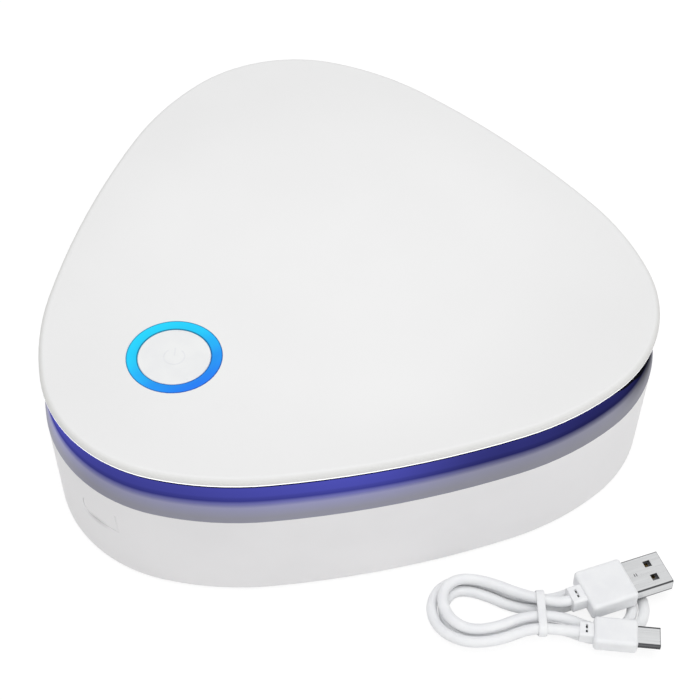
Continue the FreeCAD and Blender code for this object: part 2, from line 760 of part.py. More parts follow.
def make_hinge():
    """Bracket on the wall's rim, arm under the lid, and the pin through both."""
    lug_y = "rear_y - lug_inset + lug_depth / 2"
    pieces = [box("bracket_bar", "2 * knuckle_far", "lug_depth", "bar_height", "0", lug_y, "wall_top")]
    for name, start in (("left", "-knuckle_far"), ("right", "knuckle_near")):
        pieces.append(box("lug_" + name, "knuckle_width", "lug_depth", "hinge_z - wall_top",
                          "%s + knuckle_width / 2" % start, lug_y, "wall_top"))
        pieces.append(rod("knuckle_" + name, "barrel_radius", start, "knuckle_width", "hinge_y", "hinge_z"))
    bore = rod("bracket_bore", "pin_radius", "-knuckle_far - overrun", "2 * (knuckle_far + overrun)",
               "hinge_y", "hinge_z")
    keep("hinge_bracket", cut("bracket", fuse("bracket_whole", pieces), [bore]))
    keep("hinge_pin", rod("pin", "pin_radius", "-knuckle_far", "2 * knuckle_far", "hinge_y", "hinge_z"))
    web = box("arm_web", "2 * arm_half", "arm_depth", "lid_low - hinge_z", "0",
              "hinge_y - barrel_radius + arm_depth / 2", "hinge_z")
    barrel = rod("arm_barrel", "barrel_radius", "-arm_half", "2 * arm_half", "hinge_y", "hinge_z")
    hole = rod("arm_bore", "pin_radius + pin_gap", "-arm_half - overrun", "2 * (arm_half + overrun)",
               "hinge_y", "hinge_z")
    keep("hinge_arm", cut("arm", fuse("arm_whole", [web, barrel]), [hole]))


# Lid

LID_SCREWS = [spot("(half_depth - boss_setback)", turn) for turn in SIDES]


def make_lid():
    """Thin rounded lid, its seal, and the tray under it with lamps and magnet."""
    slab = prism("slab", "0", "lid_low", "lid_edge")
    slab = rounded("slab_top", slab, size("lid_round"), level_at(size("lid_top")))
    slab = rounded("slab_lip", slab, size("lid_lip"), level_at(size("lid_low")))
    hollow = prism("lid_hollow", "lid_rim", "lid_low - overrun", "lid_edge - lid_skin + overrun")
    bosses = [cylinder("lid_boss_%d" % number, "lid_boss_radius", "skin_low - liner_top + lid_skin / 2", x, y,
                       "liner_top") for number, (x, y) in enumerate(LID_SCREWS)]
    hole = cylinder("button_hole", "ring_radius + screw_gap", "lid_skin + 2 * overrun", "-button_shift",
                    "button_y", "skin_low - overrun")
    open_slab = cut("slab_open", slab, [hollow, hole])
    body = fuse("lid_body", [open_slab] + bosses)
    keep("lid_shell", cut("lid", body, screw_holes("lid", LID_SCREWS, "liner_low", *SCREW)))
    gasket = ring("gasket", "gasket_inset", "gasket_inset + gasket_width", "lid_low - gasket_thick",
                  "gasket_thick")
    keep("lid_gasket", gasket)
    tray = prism("tray", "liner_inset", "liner_low", "skin_low - liner_low")
    room = prism("tray_room", "liner_inset + liner_thick", "liner_top", "skin_low - liner_top + overrun")
    tools = [room] + lamp_holes("lid", "liner_low - overrun", "liner_floor + 2 * overrun")
    tools += screw_holes("liner", LID_SCREWS, "liner_low", *SCREW)
    keep("lid_liner", cut("liner", tray, tools))
    screw_set("lid_screws", LID_SCREWS, "liner_low", *SCREW)
    lamp_pieces("lid", LAMPS, "liner_low", "liner_top - lamp_height", "liner_top")
    magnet_y = "centre_y - reach + liner_inset + liner_thick + magnet_gap + magnet_radius"
    magnet = cylinder("magnet", "magnet_radius", "magnet_height", "0", magnet_y, "liner_top")
    keep("lid_magnet", magnet)


def make_button():
    """Press button with its glowing ring, switch and round board."""
    x, y = "-button_shift", "button_y"
    face = cylinder("ring_face", "ring_radius", "lid_skin", x, y, "skin_low")
    lip = cylinder("ring_lip", "ring_radius + ring_lip", "ring_lip_thick", x, y, "skin_low - ring_lip_thick")
    bore = cylinder("ring_bore", "ring_inner", "lid_skin + 2 * overrun", x, y, "skin_low - overrun")
    room = cylinder("ring_room", "cap_radius + cap_flange + running_gap", "ring_lip_thick + overrun", x, y,
                    "skin_low - ring_lip_thick - overrun")
    keep("button_light_ring", cut("ring_cut", fuse("ring_whole", [face, lip]), [bore, room]))
    foot = "cap_flange_top - cap_flange_thick"
    top = cylinder("cap_top", "cap_radius", "lid_top - (%s)" % foot, x, y, foot)
    top = rounded("cap_edge_round", top, size("cap_edge"), level_at(size("lid_top")))
    flange = cylinder("cap_flange_disc", "cap_radius + cap_flange", "cap_flange_thick", x, y, foot)
    inside = cylinder("cap_inside", "cap_radius - cap_wall", "lid_top - cap_wall - (%s) + overrun" % foot,
                      x, y, "%s - overrun" % foot)
    stem = cylinder("cap_stem", "stem_radius", "lid_top - cap_wall / 2 - plunger_top", x, y, "plunger_top")
    keep("button_cap", fuse("cap", [cut("cap_open", fuse("cap_whole", [top, flange]), [inside]), stem]))
    board = cylinder("round_board", "button_board_radius", "button_board_thick", x, y, "liner_top")
    keep("button_board", board)
    case = box("switch_case", "switch_side", "switch_side", "switch_height", x, y, "switch_low")
    well = cylinder("switch_well", "plunger_radius + cap_gap",
                    "plunger_sunk + button_travel + fit_gap + overrun", x, y,
                    "plunger_low - button_travel - fit_gap")
    keep("tact_switch", cut("switch", case, [well]))
    keep("switch_plunger", cylinder("plunger", "plunger_radius", "plunger_height", x, y, "plunger_low"))
    lamps = []
    for number in range(int(size("button_led_count"))):
        turn = "(%d * 360 deg / button_led_count)" % number
        reach = "(ring_radius - button_led_side / 2)"
        lamps.append(box("button_lamp_%d" % number, "button_led_side", "button_led_side", "button_led_height",
                         "%s + %s * cos%s" % (x, reach, turn), "%s + %s * sin%s" % (y, reach, turn),
                         "switch_low"))
    keep("button_leds", group("button_lamp_set", lamps))


# Charging cable

# Turns round the hank, in degrees, with how far the cord lies in from the outer loop and how
# high it lies, both in cord pitches. It starts over the top, winds outward and climbs again.
LOOP_INSET_SHARES = ((90, 0.21), (155, 0.3), (190, 0.39), (240, 0.41), (278, 0.26), (286.8, 1.0), (450, 1.0),
                     (627.4, 0.0), (810, 0.0), (940, -0.67), (985, -0.84))
LOOP_LAYER_SHARES = ((90, 1.0), (205, 1.0), (245, 1.04), (279.8, 1.04), (297.1, 0.0), (895, 0.0), (965, 1.0))
LOOP_START, LOOP_END, LOOP_SPANS = 101, 981, 44


def eased(turn, table):
    """A table's value at a turn, easing from each row to the next."""
    if turn <= table[0][0]:
        return table[0][1]
    for (start, before), (end, after) in zip(table, table[1:]):
        if turn <= end:
            share = (turn - start) / (end - start)
            return before + (after - before) * share * share * (3 - 2 * share)
    return table[-1][1]


def loop_line(turn):
    """The outer loop, drawn in at the waist, as (along, across) from the tie."""
    cosine, sine = math.cos(math.radians(turn)), math.sin(math.radians(turn))
    ease, power = size("lobe_ease_share"), size("lobe_power_share")
    pull = 1 - size("lobe_pull_share") * sine * sine
    along = cosine * pull * size("right_lobe" if cosine > 0 else "left_lobe")
    swell = (cosine * cosine + ease * ease) ** power - ease ** (2 * power)
    across = sine * (size("cord_pitch") + size("lobe_bulge") * swell)
    return Vector(along, across + size("lobe_rise") * (along / size("right_lobe")) ** 2, 0)


def hank_place(along, across, height):
    """A place given from the tie, in the frame of the part."""
    turn = math.radians(size("hank_turn"))
    x = size("hank_x") + along * math.cos(turn) - across * math.sin(turn)
    y = size("hank_y") + along * math.sin(turn) + across * math.cos(turn)
    return Vector(x, y, height)


def lift(along):
    """How far the cord is held up where the tie passes under it."""
    near = max(0, 1 - (along / size("waist_length")) ** 2)
    return size("waist_lift") * near * near


def loop_point(turn):
    """The middle of the cord at a turn."""
    heading = (loop_line(turn + 0.5) - loop_line(turn - 0.5)).normalize()
    inset = eased(turn, LOOP_INSET_SHARES) * size("cord_pitch")
    spot_in = loop_line(turn) - Vector(heading.y, -heading.x, 0) * inset
    height = size("cord_low") + eased(turn, LOOP_LAYER_SHARES) * size("cord_pitch") + lift(spot_in.x)
    return hank_place(spot_in.x, spot_in.y, height)


def loop_heading(turn):
    """The way the cord runs at a turn."""
    return (loop_point(turn + 0.5) - loop_point(turn - 0.5)).normalize()


def plug_end(plug):
    """Where the cord meets a plug, and the way the plug points."""
    point = hank_place(size("plug_%s_along" % plug), size("plug_%s_across" % plug), size("axis_" + plug))
    turn = math.radians(size("hank_turn") + size("plug_%s_turn" % plug))
    return point, Vector(math.cos(turn), math.sin(turn), 0)


def arc_edge(start, heading, end):
    """An arc that leaves its start along a heading and passes through its end."""
    chord = end - start
    rise = heading - chord * (heading.dot(chord) / chord.dot(chord))
    if rise.Length < size("overrun") / 1e6:
        return Part.LineSegment(start, end).toShape()
    bend = math.tan(heading.getAngle(chord) / 2)
    middle = (start + end) * 0.5 + rise.normalize() * (chord.Length / 2 * bend)
    return Part.Arc(start, middle, end).toShape()


def biarc(start, leave, end, arrive):
    """Two tangent arcs from one place and heading to another."""
    chord = end - start
    both = leave + arrive
    across = chord.dot(both)
    spread = 2 * (1 - leave.dot(arrive))
    if spread < size("overrun") / 1e6:
        reach = chord.dot(chord) / (4 * chord.dot(arrive))
    else:
        reach = (math.sqrt(across * across + spread * chord.dot(chord)) - across) / spread
    join = (start + leave * reach + end - arrive * reach) * 0.5
    back = (start + leave * reach) - join
    return [arc_edge(start, leave, join), arc_edge(join, back.normalize() * -1, end)]


def cord_stations():
    """Places and headings along the cord, from the larger plug to the smaller."""
    first, first_way = plug_end("a")
    last, last_way = plug_end("b")
    run = size("cord_diameter")
    stations = [(first - first_way * run, first_way * -1)]
    for number in range(LOOP_SPANS + 1):
        turn = LOOP_START + (LOOP_END - LOOP_START) * number / LOOP_SPANS
        stations.append((loop_point(turn), loop_heading(turn)))
    stations.append((last - last_way * run, last_way))
    return first, stations, last


def least_gap(wire):
    """The least clear space between two stretches of the cord, measured on points."""
    diameter = size("cord_diameter")
    points = wire.discretize(Distance=diameter / 4)
    apart = 16
    least = min(one.distanceToPoint(other)
                for number, one in enumerate(points) for other in points[number + apart:])
    return least - diameter


def make_cord():
    """The cord as one unbroken tube, with a straight run into each plug."""
    first, stations, last = cord_stations()
    edges = [Part.LineSegment(first, stations[0][0]).toShape()]
    for (start, leave), (end, arrive) in zip(stations, stations[1:]):
        edges += biarc(start, leave, end, arrive)
    edges.append(Part.LineSegment(stations[-1][0], last).toShape())
    wire = Part.Wire(edges)
    section = Part.Wire(Part.makeCircle(size("cord_diameter") / 2, first, stations[0][1]))
    tube = doc.addObject("Part::Feature", "cord")
    tube.Shape = wire.makePipeShell([section], True, False)
    radii = [edge.Curve.Radius for edge in edges if edge.Curve.TypeId == "Part::GeomCircle"]
    even = wire.Length * math.pi * size("cord_diameter") ** 2 / 4
    print("cord length %.1f, least gap %.2f, least radius %.2f" % (wire.Length, least_gap(wire), min(radii)))
    print("cord volume over section times length %.4f" % (tube.Shape.Volume / even))
    keep("cable_cord", tube)
    return wire


def make_tie(wire):
    """A band drawn round the strands at the waist."""
    turn = math.radians(size("hank_turn"))
    way = Vector(math.cos(turn), math.sin(turn), 0)
    origin = hank_place(0, 0, 0)
    side = hank_place(0, 1, 0) - origin
    half = size("reach")
    crossings = []
    for end in (-1, 1):
        sheet = Part.Plane(origin + way * (end * size("tie_width") / 2), way)
        face = sheet.toShape(-half, half, -half, half)
        crossings += [vertex.Point for vertex in wire.section(face).Vertexes]
    flat = sorted((point.sub(origin).dot(side), point.z) for point in crossings)
    hull = []
    for rows in (flat, flat[::-1]):
        chain = []
        for point in rows:
            while len(chain) > 1 and turns_right(chain[-2], chain[-1], point):
                chain.pop()
            chain.append(point)
        hull += chain[:-1]
    corners = [origin + side * across + Vector(0, 0, height) for across, height in hull]
    core = Part.Face(Part.makePolygon(corners + corners[:1]))
    inner = core.makeOffset2D(size("cord_diameter") / 2 + size("tie_gap"))
    outer = core.makeOffset2D(size("cord_diameter") / 2 + size("tie_gap") + size("tie_thick"))
    band = outer.cut(inner)
    band.translate(way * (-size("tie_width") / 2))
    tie = doc.addObject("Part::Feature", "tie")
    tie.Shape = band.extrude(way * size("tie_width"))
    keep("cable_tie", tie)


def turns_right(first, second, third):
    """Whether three flat points bend to the right."""
    return (second[0] - first[0]) * (third[1] - first[1]) <= (second[1] - first[1]) * (third[0] - first[0])


def at_plug(plug, thing):
    """Move a piece drawn along X from the cord's end to where a plug lies."""
    thing.Placement = FreeCAD.Placement(Vector(), FreeCAD.Rotation(Vector(0, 0, 1), 1))
    bind(thing, **{"Placement.Rotation.Angle": "hank_turn + plug_%s_turn" % plug})
    along, across = "plug_%s_along" % plug, "plug_%s_across" % plug
    turn = "(hank_turn * 1 deg)"
    return place(thing, "hank_x + %s * cos%s - %s * sin%s" % (along, turn, across, turn),
                 "hank_y + %s * sin%s + %s * cos%s" % (along, turn, across, turn), "axis_" + plug)


def bar(name, start, length, width, height, across="0", middle="0"):
    """A block along X, centred on the plug's axis or on a place beside it."""
    thing = box(name, length, width, height, "%s + (%s) / 2" % (start, length), across,
                "%s - (%s) / 2" % (middle, height))
    return thing


def make_grip(plug, node):
    """Soft strain relief, with its slot, and the moulded grip in front of it."""
    relief = bar("relief_" + plug, "0", "relief_%s_length" % plug, "relief_%s_width" % plug,
                 "relief_%s_height" % plug)
    relief = rounded("relief_round_" + plug, relief, size("relief_round"), along(Vector(1, 0, 0)))
    slot = bar("slot_" + plug, "relief_%s_length / 2 - slot_length / 2" % plug, "slot_length", "slot_width",
               "2 * slot_depth", middle="relief_%s_height / 2" % plug)
    keep(node + "_relief", at_plug(plug, cut("relief_cut_" + plug, relief, [slot])))
    grip = bar("grip_" + plug, "relief_%s_length" % plug, "body_%s_length" % plug, "body_%s_width" % plug,
               "body_%s_height" % plug)
    grip = rounded("grip_round_" + plug, grip, size("body_round"), lambda edge: True)
    keep(node + "_body", at_plug(plug, group("grip_turned_" + plug, [grip])))


def make_shell(plug, node, holes):
    """Hollow metal shell with a tongue in it."""
    start = "relief_%s_length + body_%s_length" % (plug, plug)
    wall = "shell_%s_wall" % plug
    tube = bar("shell_" + plug, start, "shell_%s_length" % plug, "shell_%s_width" % plug,
               "shell_%s_height" % plug)
    tube = rounded("shell_round_" + plug, tube, size(wall), along(Vector(1, 0, 0)))
    room = bar("shell_room_" + plug, "%s - overrun" % start, "shell_%s_length + 2 * overrun" % plug,
               "shell_%s_width - 2 * %s" % (plug, wall), "shell_%s_height - 2 * %s" % (plug, wall))
    keep(node + "_shell", at_plug(plug, cut("shell_cut_" + plug, tube, [room] + holes)))
    tongue = bar("tongue_" + plug, start, "shell_%s_length - tongue_%s_back" % (plug, plug),
                 "shell_%s_width - 2 * %s - 2 * fit_gap" % (plug, wall), "tongue_%s_height" % plug,
                 middle="%s + (tongue_%s_height - shell_%s_height) / 2" % (wall, plug, plug))
    keep(node + "_tongue", at_plug(plug, group("tongue_turned_" + plug, [tongue])))
    return start


def make_cable():
    """The tied cord and its two plugs."""
    make_tie(make_cord())
    front = "relief_a_length + body_a_length"
    holes = [bar("shell_hole_%d" % number, "%s + shell_hole_reach - shell_hole / 2" % front, "shell_hole",
                 "shell_hole", "shell_a_height + 2 * overrun", "%d * shell_hole_pitch / 2" % side)
             for number, side in enumerate((-1, 1))]
    make_grip("a", "usb_a")
    make_shell("a", "usb_a", holes)
    level = "shell_a_wall + tongue_a_height - shell_a_height / 2 + contact_thick / 2"
    strips = [bar("contact_%d" % number, "%s + tongue_a_back" % front, "contact_length", "contact_width",
                  "contact_thick", "%s * contact_pitch / 2" % step, level)
              for number, step in enumerate((-3, -1, 1, 3))]
    keep("usb_a_contacts", at_plug("a", group("contact_set", strips)))
    make_grip("b", "micro")
    make_shell("b", "micro", [])


make_base_shell()
make_bottom()
make_rings()
make_tub()
make_electronics()
make_port()
make_hinge()
make_lid()
make_button()
make_cable()


def save():
    """Recompute, check every object and every piece, and write one file for each piece."""
    doc.recompute()
    for thing in doc.Objects:
        if "Invalid" in thing.State or "Error" in thing.State:
            raise RuntimeError("%s failed" % thing.Name)
    os.makedirs("parts", exist_ok=True)
    for node, thing in NODES.items():
        shape = thing.Shape
        if shape.isNull() or not shape.isValid() or shape.Volume <= 0:
            raise RuntimeError("%s has no sound solid" % node)
        shape.exportStep("parts/%s.step" % node)
    print("%d pieces" % len(NODES))


save()
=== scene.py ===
# %% [markdown]
# # A three-cornered ultraviolet box and its charging cable
# The object is a white plastic box with three soft corners. Its lid hides a mirror-lined chamber, a blue
# glowing band runs round it, and a tied white cable lies beside it. The solids come from a CAD program. This
# lesson gives them their finishes, and adds what a solid modeller does badly: a soft cord, a band round it,
# and small moulded and printed details.

# %% Load the solids
import json
import math

import bmesh
import bpy
from mathutils import Matrix, Vector


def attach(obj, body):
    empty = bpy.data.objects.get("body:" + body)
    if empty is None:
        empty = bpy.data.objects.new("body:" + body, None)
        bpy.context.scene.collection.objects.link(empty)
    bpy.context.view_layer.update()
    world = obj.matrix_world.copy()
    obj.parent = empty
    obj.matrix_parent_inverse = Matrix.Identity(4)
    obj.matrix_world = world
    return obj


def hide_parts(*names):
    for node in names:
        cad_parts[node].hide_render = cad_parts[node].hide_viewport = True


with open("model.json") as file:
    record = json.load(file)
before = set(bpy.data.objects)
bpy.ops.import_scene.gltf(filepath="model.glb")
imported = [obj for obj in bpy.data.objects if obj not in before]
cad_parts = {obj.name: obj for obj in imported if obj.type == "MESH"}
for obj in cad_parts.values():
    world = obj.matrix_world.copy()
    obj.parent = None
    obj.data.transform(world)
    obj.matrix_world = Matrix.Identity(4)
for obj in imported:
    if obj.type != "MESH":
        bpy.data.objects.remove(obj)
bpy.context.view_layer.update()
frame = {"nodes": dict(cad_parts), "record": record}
NODES = frame["nodes"]
SLOT_OF = {row["node"]: row["material_slot"] for row in frame["record"]["subparts"]}
MM = 0.001

# %% [markdown]
# ## The camera
# A product picture is usually taken from far away with a long lens, so that edges hardly converge. We could
# look for the view by eye. Here the camera's three axes were worked out from the outline of the case, and a
# small lens shift puts the case as high in the frame as it is in the picture.

# %% Camera
def new_object(name, data):
    thing = bpy.data.objects.new(name, data)
    bpy.context.scene.collection.objects.link(thing)
    return thing


lens = bpy.data.cameras.new("picture_camera")
lens.lens = 94.514
lens.shift_x = 0.02515
lens.shift_y = -0.04199
camera = new_object("picture_camera", lens)
camera_axes = Matrix(((0.69056, 0.72327, 0.00061), (-0.52870, 0.50421, 0.68282),
                      (0.49356, -0.47185, 0.73058)))
camera_place = Vector((304.733, -281.087, 479.995)) * MM
camera.matrix_world = Matrix.Translation(camera_place) @ camera_axes.transposed().to_4x4()
bpy.context.scene.camera = camera
print("camera", [round(x, 3) for x in camera.matrix_world.translation])

# %% [markdown]
# ## The cord
# The charging cable is one soft cord, wound into a hank of two and a half turns that is pinched in at its
# waist. We could bend a tube by hand. It is easier to write the hank as a rule: a loop that is drawn in at
# the middle, with an inset and a layer that change slowly as the cord goes round. The rule's points become
# the control points of one smooth NURBS curve, and the curve's bevel makes it round.

# %% The rule of the hank
HANK_PLACE = Vector((116.09, -11.96, 0.0)) * MM
HANK_TURN = math.radians(46.45)
CORD_DIAMETER = 3.4 * MM
CORD_PITCH = 3.9 * MM
CORD_LOW = CORD_DIAMETER / 2 + 0.05 * MM
LEFT_LOBE, RIGHT_LOBE, LOBE_BULGE, LOBE_RISE = 31.9 * MM, 33.4 * MM, 34.8 * MM, 2.9 * MM
LOBE_EASE, LOBE_POWER, LOBE_PULL = 0.382, 0.341, 0.141
WAIST_LENGTH, WAIST_LIFT = 9.9 * MM, 1.1 * MM
INSETS = ((90, 0.21), (155, 0.3), (190, 0.39), (240, 0.41), (278, 0.26), (286.8, 1.0), (450, 1.0),
          (627.4, 0.0), (810, 0.0), (940, -0.67), (985, -0.84))
LAYERS = ((90, 1.0), (205, 1.0), (245, 1.04), (279.8, 1.04), (297.1, 0.0), (895, 0.0), (965, 1.0))
FIRST_TURN, WHOLE_TURN, TURN_STEPS = 101, 880, 44


def eased(turn, rows):
    """Go smoothly from each row's value to the next."""
    if turn <= rows[0][0]:
        return rows[0][1]
    for (start, before), (end, after) in zip(rows, rows[1:]):
        if turn <= end:
            share = (turn - start) / (end - start)
            return before + (after - before) * share * share * (3 - 2 * share)
    return rows[-1][1]


def hank_to_table(along, across, height):
    """Turn a place measured from the tie into a place on the table."""
    cosine, sine = math.cos(HANK_TURN), math.sin(HANK_TURN)
    return HANK_PLACE + Vector((along * cosine - across * sine, along * sine + across * cosine, height))


def outer_loop(turn):
    """The outermost turn of the hank, drawn in at the waist."""
    cosine, sine = math.cos(math.radians(turn)), math.sin(math.radians(turn))
    along = cosine * (1 - LOBE_PULL * sine * sine) * (RIGHT_LOBE if cosine > 0 else LEFT_LOBE)
    swell = (cosine * cosine + LOBE_EASE ** 2) ** LOBE_POWER - LOBE_EASE ** (2 * LOBE_POWER)
    across = sine * (CORD_PITCH + LOBE_BULGE * swell)
    return Vector((along, across + LOBE_RISE * (along / RIGHT_LOBE) ** 2))


def cord_point(turn):
    """The middle of the cord at a turn of the hank."""
    heading = (outer_loop(turn + 0.5) - outer_loop(turn - 0.5)).normalized()
    place = outer_loop(turn) - Vector((heading.y, -heading.x)) * eased(turn, INSETS) * CORD_PITCH
    lift = max(0.0, 1 - (place.x / WAIST_LENGTH) ** 2) ** 2 * WAIST_LIFT
    return hank_to_table(place.x, place.y, CORD_LOW + eased(turn, LAYERS) * CORD_PITCH + lift)


loop_points = [cord_point(FIRST_TURN + WHOLE_TURN * step / TURN_STEPS) for step in range(TURN_STEPS + 1)]
print("control points in the turns:", len(loop_points))

# %% The cord as one smooth curve
PLUG_A = (hank_to_table(9.05 * MM, 1.72 * MM, 7.05 * MM), HANK_TURN + math.radians(20.25))
PLUG_B = (hank_to_table(11.1 * MM, -9.28 * MM, 6.45 * MM), HANK_TURN - math.radians(6.15))
SHELL_A_TIP, SHELL_A_HALF, SHELL_A_LOW, SHELL_A_TOP = 32.5 * MM, 6.0 * MM, 4.8 * MM, 9.3 * MM
SHELL_B_TIP, SHELL_B_HALF, SHELL_B_LOW, SHELL_B_TOP = 24.5 * MM, 3.425 * MM, 5.55 * MM, 7.35 * MM


def plug_way(plug):
    """The way a plug points, away from its cord."""
    return Vector((math.cos(plug[1]), math.sin(plug[1]), 0.0))


route = [PLUG_A[0], PLUG_A[0] - plug_way(PLUG_A) * CORD_DIAMETER]
route += loop_points
route += [PLUG_B[0] - plug_way(PLUG_B) * CORD_DIAMETER, PLUG_B[0]]


def smooth_curve(name, points, radius):
    """One open NURBS curve through the neighbourhood of its control points."""
    data = bpy.data.curves.new(name, "CURVE")
    data.dimensions = "3D"
    data.resolution_u = 8
    data.bevel_depth = radius
    data.bevel_resolution = 6
    data.use_fill_caps = True
    spline = data.splines.new("NURBS")
    spline.points.add(len(points) - 1)
    for control, place in zip(spline.points, points):
        control.co = (*place, 1.0)
    spline.order_u = 3
    spline.use_endpoint_u = True
    return new_object(name, data)


cord = smooth_curve("cord", route, CORD_DIAMETER / 2)


def centre_line(curve):
    """Points along a curve, read from it while it has no thickness."""
    depth = curve.data.bevel_depth
    curve.data.bevel_depth = 0
    seen = curve.evaluated_get(bpy.context.evaluated_depsgraph_get())
    mesh = bpy.data.meshes.new_from_object(seen)
    places = [vertex.co.copy() for vertex in mesh.vertices]
    bpy.data.meshes.remove(mesh)
    curve.data.bevel_depth = depth
    return places


cord_line = centre_line(cord)
cord_length = sum((b - a).length for a, b in zip(cord_line, cord_line[1:]))
print("cord is %.1f mm long" % (cord_length / MM))

# %% [markdown]
# ## The band round the hank
# A narrow white plastic band holds the turns together at the waist. We could scale a ring until it fits.
# Instead we cut the cord's line at both sides of the band, wrap the cuts in the shortest loop that holds
# them all, and give that loop a soft, flat section.

# %% Where the cord passes the waist
HANK_WAY = Vector((math.cos(HANK_TURN), math.sin(HANK_TURN), 0.0))
HANK_SIDE = Vector((-HANK_WAY.y, HANK_WAY.x, 0.0))


def waist_cuts(line, shift):
    """Where a line passes through a plane across the waist, as (across, height)."""
    cuts = []
    for a, b in zip(line, line[1:]):
        before, after = (a - HANK_PLACE).dot(HANK_WAY) - shift, (b - HANK_PLACE).dot(HANK_WAY) - shift
        if before * after < 0:
            place = a.lerp(b, before / (before - after)) - HANK_PLACE
            cuts.append((place.dot(HANK_SIDE), place.z))
    return cuts


def wrapped(points):
    """The corners of the shortest loop that holds flat points, in order."""
    corners = []
    for rows in (points, points[::-1]):
        chain = []
        for point in rows:
            while len(chain) > 1:
                (ax, ay), (bx, by) = chain[-2], chain[-1]
                if (bx - ax) * (point[1] - ay) > (by - ay) * (point[0] - ax):
                    break
                chain.pop()
            chain.append(point)
        corners += chain[:-1]
    return corners


TIE_WIDTH = 2.6 * MM
cuts = waist_cuts(cord_line, -TIE_WIDTH / 2) + waist_cuts(cord_line, TIE_WIDTH / 2)
waist = wrapped(sorted(cuts))
print("the band goes round", len(cuts) // 2, "strands and", len(waist), "corners")

# %% The band
SECTION_SIDES, FLAT_POWER, SOFT_POWER = 12, 0.45, 0.7
LOOP_STEP = math.radians(9)


def band_loop(corners, reach, step):
    """A loop at a distance from the corners, round each of them, with an even step."""
    loop = []
    count = len(corners)
    for number in range(count):
        (ax, ay), (bx, by), (cx, cy) = corners[number - 1], corners[number], corners[(number + 1) % count]
        start = math.atan2(by - ay, bx - ax) - math.pi / 2
        sweep = (math.atan2(cy - by, cx - bx) - math.pi / 2 - start) % (2 * math.pi)
        parts = max(2, round(sweep / step))
        for part in range(parts + 1):
            turn = start + sweep * part / parts
            loop.append((bx + reach * math.cos(turn), by + reach * math.sin(turn), turn))
    return loop


def band_mesh(name, corners, reach, width, thick):
    """Sweep a soft flat section round the loop."""
    section = []
    for number in range(SECTION_SIDES):
        turn = math.tau * number / SECTION_SIDES
        cosine, sine = math.cos(turn), math.sin(turn)
        flat = math.copysign(abs(cosine) ** FLAT_POWER, cosine) * width / 2
        section.append((flat, math.copysign(abs(sine) ** SOFT_POWER, sine) * thick / 2))
    shape = bmesh.new()
    rings = []
    for across, height, turn in band_loop(corners, reach, LOOP_STEP):
        ring = []
        for flat, out in section:
            place = HANK_PLACE + HANK_WAY * flat + HANK_SIDE * (across + out * math.cos(turn))
            ring.append(shape.verts.new(place + Vector((0, 0, height + out * math.sin(turn)))))
        rings.append(ring)
    for ring, following in zip(rings, rings[1:] + rings[:1]):
        for number in range(len(section)):
            after = (number + 1) % len(section)
            shape.faces.new((ring[number], following[number], following[after], ring[after]))
    bmesh.ops.recalc_face_normals(shape, faces=shape.faces)
    mesh = bpy.data.meshes.new(name)
    shape.to_mesh(mesh)
    shape.free()
    for face in mesh.polygons:
        face.use_smooth = True
    return mesh


TIE_THICK, TIE_SEAT = 0.6 * MM, 0.42 * MM
TIE_REACH = CORD_DIAMETER / 2 + TIE_SEAT
tie = new_object("tie_band", band_mesh("tie_band", waist, TIE_REACH, TIE_WIDTH, TIE_THICK))
print("tie band:", len(tie.data.polygons), "faces")

# %% [markdown]
# ## Floor, background and light
# The picture has a plain white ground and hardly any shadow. We could overexpose the floor, but that would
# bleach the case too. So the light stays plain, and only what the camera, a mirror or a glass sees of the
# floor and the sky is white. The floor still takes a share of real light, so it keeps a faint shadow.

# %% Helpers for node trees
def node(tree, kind, **values):
    """Add a node, and set its inputs by name."""
    made = tree.nodes.new(kind)
    for name, value in values.items():
        made.inputs[name.replace("_", " ")].default_value = value
    return made


def link(tree, start, end):
    tree.links.new(start, end)


def picture_rays(tree):
    """One for rays that come from the camera, a mirror or a glass, else zero."""
    path = node(tree, "ShaderNodeLightPath")
    total = None
    for name in ("Is Camera Ray", "Is Glossy Ray", "Is Transmission Ray"):
        if total is None:
            total = path.outputs[name]
            continue
        most = tree.nodes.new("ShaderNodeMath")
        most.operation = "MAXIMUM"
        link(tree, total, most.inputs[0])
        link(tree, path.outputs[name], most.inputs[1])
        total = most.outputs[0]
    return total


# %% Sky
SKY_LIGHT = 0.62
world = bpy.data.worlds.new("white_room")
world.use_nodes = True
sky = world.node_tree
sky.nodes.clear()
sky_out = node(sky, "ShaderNodeOutputWorld")
sky_lit = node(sky, "ShaderNodeBackground", Color=(1, 1, 1, 1), Strength=SKY_LIGHT)
sky_seen = node(sky, "ShaderNodeBackground", Color=(1, 1, 1, 1), Strength=1.0)
sky_mix = node(sky, "ShaderNodeMixShader")
link(sky, picture_rays(sky), sky_mix.inputs[0])
link(sky, sky_lit.outputs[0], sky_mix.inputs[1])
link(sky, sky_seen.outputs[0], sky_mix.inputs[2])
link(sky, sky_mix.outputs[0], sky_out.inputs[0])
bpy.context.scene.world = world
bpy.context.scene.view_settings.view_transform = "Standard"
print("sky light", SKY_LIGHT)

